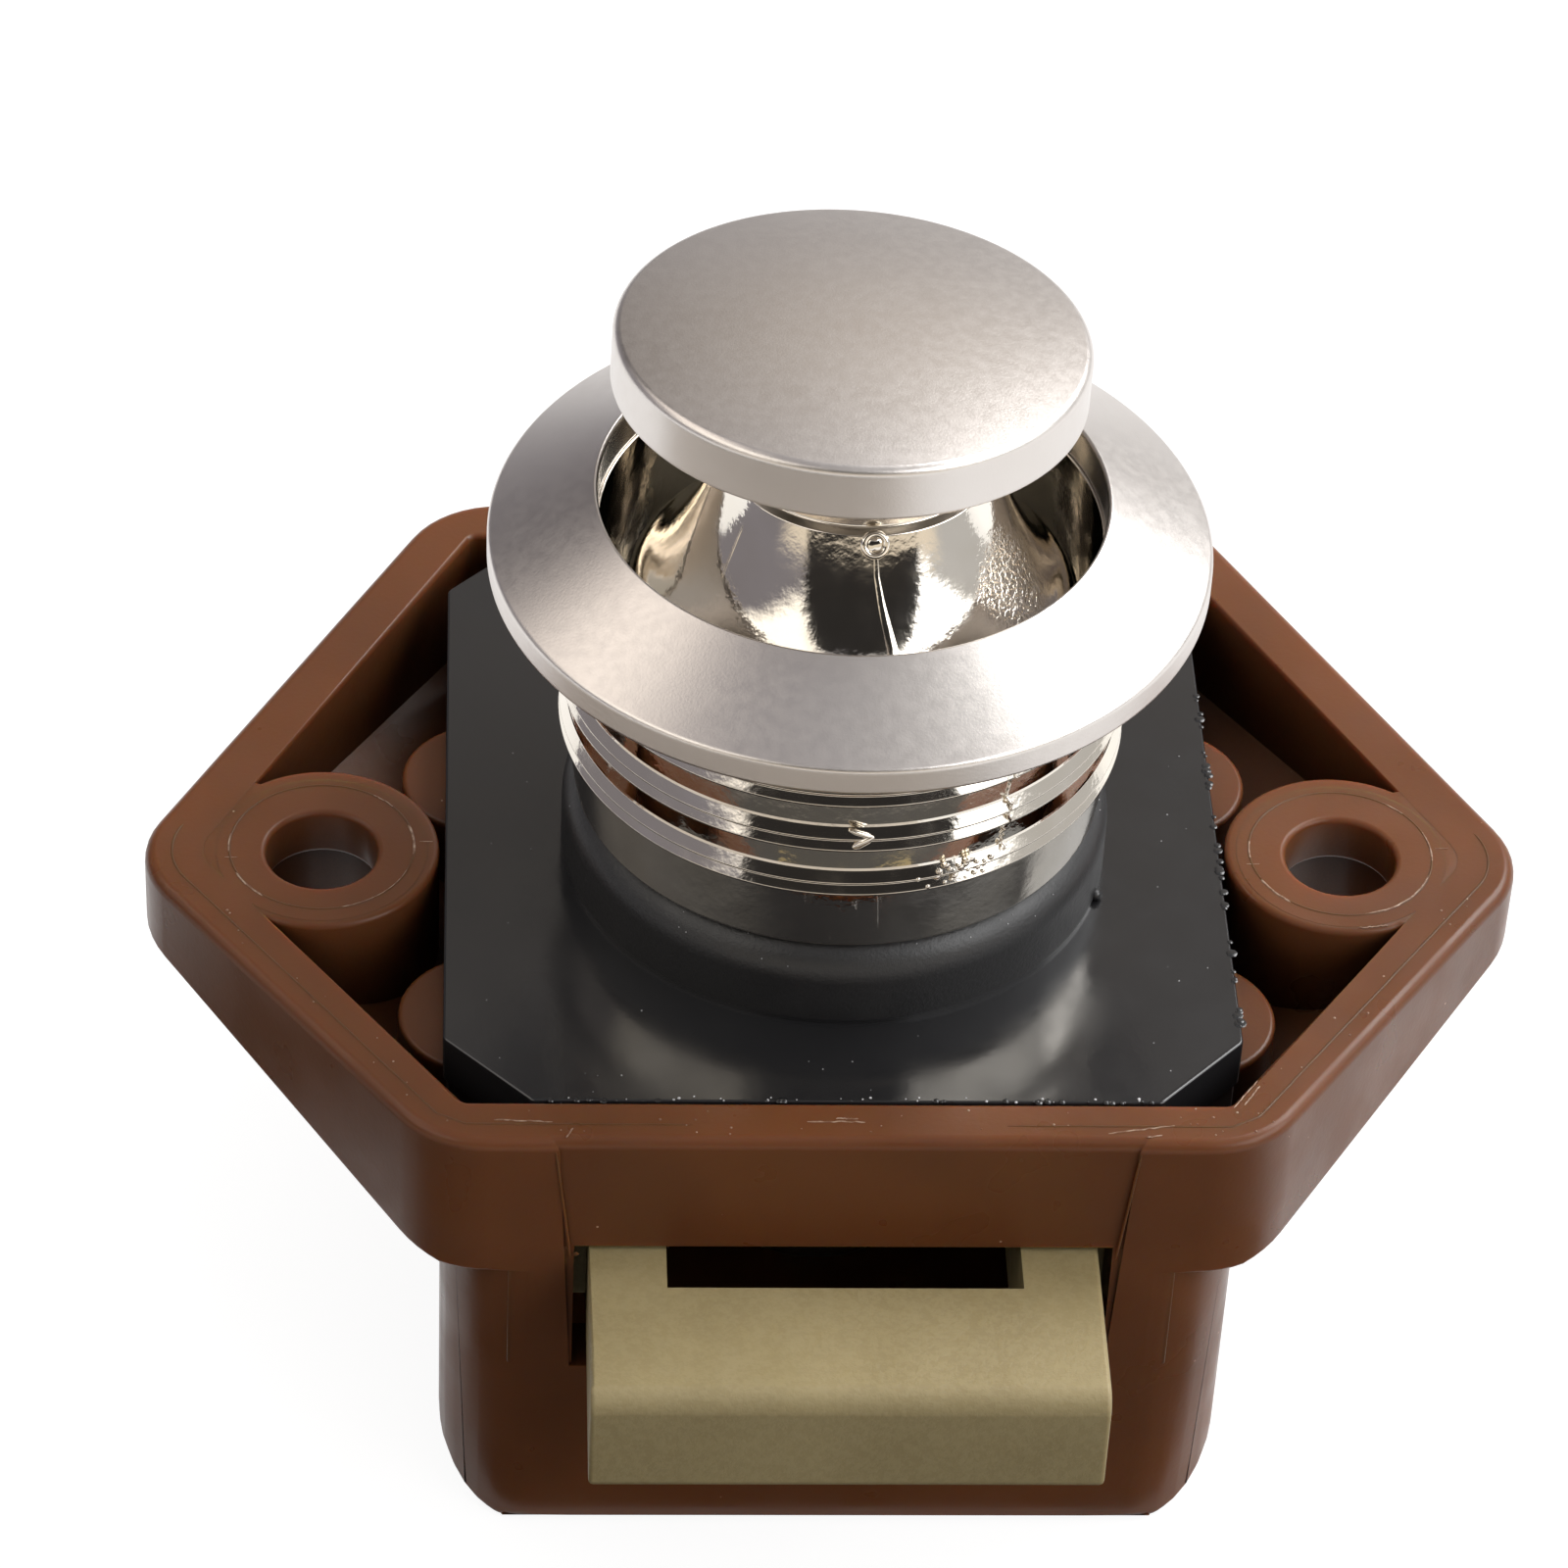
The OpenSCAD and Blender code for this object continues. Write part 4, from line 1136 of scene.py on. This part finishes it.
def collar_marks():
    """Gate mark, ragged parting line and pits of the sleeve."""
    marks = Shapes()
    gate = [collar_place(*corner) for corner in GATE]
    for k, width in enumerate(GATE_STROKES):
        marks.bead([(gate[k][0].lerp(gate[k + 1][0], t / 4), gate[1][1]) for t in range(5)],
                   width, 0.14)
    seam = []
    for k in range(34):
        z = 13.4 - 4.4 * k / 33
        angle = -57.05 - 1.1 * k / 33 + rng.uniform(-0.45, 0.45)
        seam.append(collar_place(angle, z))
    marks.bead(seam, 0.16, 0.1)
    marks.bead([collar_place(-84.8 + 0.7 * k / 9, 7.6 - 2.2 * k / 9) for k in range(10)],
               0.1, 0.02)
    for k in range(26):
        marks.lump(*collar_place(rng.uniform(-78.5, -61), rng.uniform(8.0, 9.1)),
                   rng.uniform(0.08, 0.2), rng.uniform(0.04, 0.09))
    return marks


def bell_place(azimuth, z):
    """Place on the upright bell and its outward direction; azimuth 0 is -Y."""
    i = next(n for n in range(1, len(BELL_SIDE) - 1) if BELL_SIDE[n].y <= z)
    high, low = BELL_SIDE[i - 1], BELL_SIDE[i]
    slope = (BELL_SIDE[i + 1] - high).normalized()
    a = rad(azimuth)
    out = Vector((math.sin(a), -math.cos(a), 0))
    radius = high.lerp(low, (high.y - z) / (high.y - low.y)).x
    place = out * radius + Vector((0, AXIS_Y, z))
    return place, (out * -slope.y + UP * slope.x).normalized()


def bell_path(stations, steps):
    """Bead path through (azimuth, height) stations."""
    path = []
    for (a, z), (b, y) in zip(stations, stations[1:]):
        for k in range(steps):
            t = k / steps
            path.append(bell_place(a + (b - a) * t, z + (y - z) * t))
    return path


BELL_SEAM = [(4.2, 22.2), (4.6, 21.0), (6.2, 19.85), (7.6, 19.0), (8.8, 18.2), (9.4, 17.5)]
BELL_LINES = ([(-55.2, 21.6), (-54.6, 20.0), (-54.0, 19.2)], [(58.5, 21.0), (62, 19.8)])
# Gate blob: azimuth and height, and the ring round it
BLOB = (4.0, 22.3)
BLOB_RING_R = 0.5


def bell_marks():
    """Gate blob and parting lines of the bell, before it leans."""
    marks = Shapes()
    seam = bell_path(BELL_SEAM, 6)
    last = len(seam) - 1
    marks.bead(seam, 0.55, 0.07, [0.3 + 0.75 * k / last for k in range(len(seam))])
    for stations in BELL_LINES:
        marks.bead(bell_path(stations, 8), 0.12, 0.03)
    blob, out = bell_place(*BLOB)
    aside = out.orthogonal().normalized()
    upward = out.cross(aside)
    ring = []
    for k in range(26):
        turn = 2 * math.pi * k / 24
        ring.append((blob + BLOB_RING_R * (aside * math.cos(turn) + upward * math.sin(turn)),
                     out))
    marks.bead(ring, 0.34, 0.17, [1.0] * len(ring))
    marks.lump(blob, out, 0.4, 0.1)
    return marks


witness, scuffs = rim_marks()
burrs, dust = plate_marks()
for name, shapes, slot, material in (
        ("rim_witness", witness, "case_plastic", None),
        ("rim_scuffs", scuffs, "case_plastic", SCUFFED),
        ("panel_lines", panel_marks(), "case_plastic", None),
        ("plate_burrs", burrs, "black_plastic", None),
        ("plate_dust", dust, "black_plastic", DUST),
        ("sleeve_marks", collar_marks(), "bright_nickel", None)):
    piece(name, shapes.mesh(name), "case", slot, material)
piece("bell_marks", leaned(bell_marks().mesh("bell_marks"), BELL_SHIFT), "knob",
      "bright_nickel")
for side, hand in SIDES:
    piece(f"opening_strip_{hand}", opening_strip(side), "case", "case_plastic")


# Studio: floor, card, world and lamp

def compass(azimuth, elevation):
    """Direction from the part: azimuth 0 is -Y and 90 is +X, in degrees."""
    a, e = rad(azimuth), rad(elevation)
    return Vector((math.sin(a) * math.cos(e), -math.cos(a) * math.cos(e), math.sin(e)))


FLOOR_HALF = 2000
FLOOR_GAP = 0.02
FLOOR_GREY = (0.19, 0.19, 0.19)
FLOOR_GLOW = 0.9


def make_floor():
    """Pale floor, which keeps the shadow and is lifted to white where it is seen."""
    size = FLOOR_HALF * MM
    z = cad_box[0].z - FLOOR_GAP * MM
    mesh = bpy.data.meshes.new("floor")
    mesh.from_pydata([(-size, -size, z), (size, -size, z), (size, size, z), (-size, size, z)],
                     [], [(0, 1, 2, 3)])
    floor = add_object("floor", mesh)
    m = Nodes("floor_white")
    path = m.add("LightPath")
    seen = m.math("MAXIMUM", path.outputs["Is Camera Ray"], path.outputs["Is Glossy Ray"])
    seen = m.math("MAXIMUM", seen, path.outputs["Is Transmission Ray"])
    m.surface(Base_Color=FLOOR_GREY, Roughness=0.9, Emission_Color=(1.0, 1.0, 1.0),
              Emission_Strength=m.math("MULTIPLY", seen, FLOOR_GLOW))
    mesh.materials.append(m.owner)


# The dark card: height over the case's foot, half width, how far the left part goes out,
# depth in front of the case and how far back the left part goes
CARD_RISE = 0.5
CARD_HALF, CARD_LEFT = 40, -140
CARD_DEPTH = 180
CARD_BACK = 5
# Its shades, and the distances from the button's axis between which they change
CARD_NEAR, CARD_MIDDLE, CARD_FAR = (0.05, 0.048, 0.045), (0.52, 0.475, 0.43), (0.1, 0.09, 0.08)
CARD_STEPS = ((54, 68), (92, 112))


def make_card():
    """Dark card on the floor in front, unseen by the camera: it darkens what the polished
    sleeve and the cap's side mirror."""
    z = cad_box[0].z + CARD_RISE * MM
    near = (FRONT_WALL - 0.5) * MM
    front, back = near - CARD_DEPTH * MM, CARD_BACK * MM
    left, half = CARD_LEFT * MM, CARD_HALF * MM
    mesh = bpy.data.meshes.new("card_front")
    mesh.from_pydata([(-half, front, z), (half, front, z), (half, near, z), (-half, near, z),
                      (left, front, z), (left, near, z), (left, back, z), (-half, back, z)],
                     [], [(0, 1, 2, 3), (4, 0, 3, 5), (5, 3, 7, 6)])
    card = add_object("card_front", mesh)
    m = Nodes("card_grey")
    colour = CARD_NEAR
    for (first, last), shade in zip(CARD_STEPS, (CARD_MIDDLE, CARD_FAR)):
        colour = m.mix(m.ramp(m.radius(), first * MM, last * MM), colour, shade)
    m.surface(Base_Color=colour, Roughness=0.8)
    mesh.materials.append(m.owner)
    card.visible_camera = False
    card.visible_diffuse = False
    card.visible_shadow = False


# Soft windows and dark openings of the tent: azimuth, elevation, half width and half height
# in degrees, softness as a share, how much narrower it is at the top, colour
TENT_WINDOWS = [
    (64, 34, 30, 17, 0.2, 0, (4.6, 4.6, 4.6)),
    (-64, 40, 28, 15, 0.3, 0, (1.9, 1.8, 1.65)),
    (-114, 52, 16, 12, 0.6, 0, (1.9, 1.75, 1.6)),
    (0, 10, 60, 12, 0.3, 0, (0.95, 0.84, 0.69)),
    (-178, 34, 24, 12, 0.8, 0, (0.74, 0.66, 0.58)),
    (2, 31, 44, 13, 0.12, 0.6, (0.03, 0.028, 0.027)),
    (-154, 32, 18, 13, 0.9, 0, (0.04, 0.037, 0.045)),
]
# The tent's own shades for mirrors, left and right, and for diffuse light, away from the key
# side and towards it
TENT_LEFT, TENT_RIGHT = (0.25, 0.235, 0.26), (0.6, 0.59, 0.58)
FILL_AWAY, FILL_KEY = (0.1, 0.098, 0.1), (1.15, 1.13, 1.1)
FILL_FROM = (128, 40)


def tent_window(m, azimuth, elevation, half_w, half_h, edge, taper):
    """Share of a window in the world's direction, 1 inside it."""
    ahead = compass(azimuth, elevation)
    right = compass(azimuth + 90, 0)
    depth = m.math("MAXIMUM", m.dot(ahead), 0.05)
    height = m.math("MULTIPLY", depth, math.tan(rad(half_h)))
    rise = m.math("DIVIDE", m.dot(ahead.cross(right)), height)
    narrow = m.math("SUBTRACT", 1.0, m.math("MULTIPLY", m.math("ADD", rise, 1.0), taper / 2))
    width = m.math("MULTIPLY", depth, m.math("MULTIPLY", narrow, math.tan(rad(half_w))))
    aside = m.math("DIVIDE", m.dot(right), width)
    inside = 1.0
    for offset in (rise, aside):
        inside = m.math("MULTIPLY", inside, m.ramp(
            m.math("ABSOLUTE", offset), 1 - edge, 1 + edge, 1.0, 0.0))
    return inside


def make_world():
    """White behind the object; for its light a soft tent, brighter on the right, with
    windows and the camera's dark opening."""
    m = Nodes("studio", world=True)
    bpy.context.scene.world = m.owner
    colour = m.mix(m.ramp(m.dot((1, 0, 0)), -0.6, 0.7), TENT_LEFT, TENT_RIGHT)
    for *window, shade in TENT_WINDOWS:
        colour = m.mix(tent_window(m, *window), colour, shade)
    path = m.add("LightPath")
    seen = m.math("MAXIMUM", path.outputs["Is Camera Ray"], path.outputs["Is Transmission Ray"])
    fill = m.mix(m.ramp(m.dot(compass(*FILL_FROM)), -0.7, 0.9), FILL_AWAY, FILL_KEY)
    colour = m.mix(path.outputs["Is Diffuse Ray"], colour, fill)
    back = m.add("Background")
    m.feed(back.inputs["Color"], m.mix(seen, colour, (1.0, 1.0, 1.0)))
    m.tree.links.new(back.outputs[0], m.out.inputs["Surface"])


# The key lamp: azimuth and elevation, and its distance and size in metres
KEY_FROM = (126, 46)
KEY_DISTANCE, KEY_W, KEY_H = 0.7, 0.42, 0.34
KEY_WATTS = 3.9


def make_key():
    """Area lamp that faces the part from behind on the right."""
    data = bpy.data.lights.new("key_right", "AREA")
    data.shape = "RECTANGLE"
    data.size = KEY_W
    data.size_y = KEY_H
    data.energy = KEY_WATTS
    lamp = add_object("key_right", data)
    back = compass(*KEY_FROM)
    lamp.location = back * KEY_DISTANCE
    lamp.rotation_euler = back.to_track_quat("Z", "Y").to_euler()


make_floor()
make_card()
make_world()
make_key()
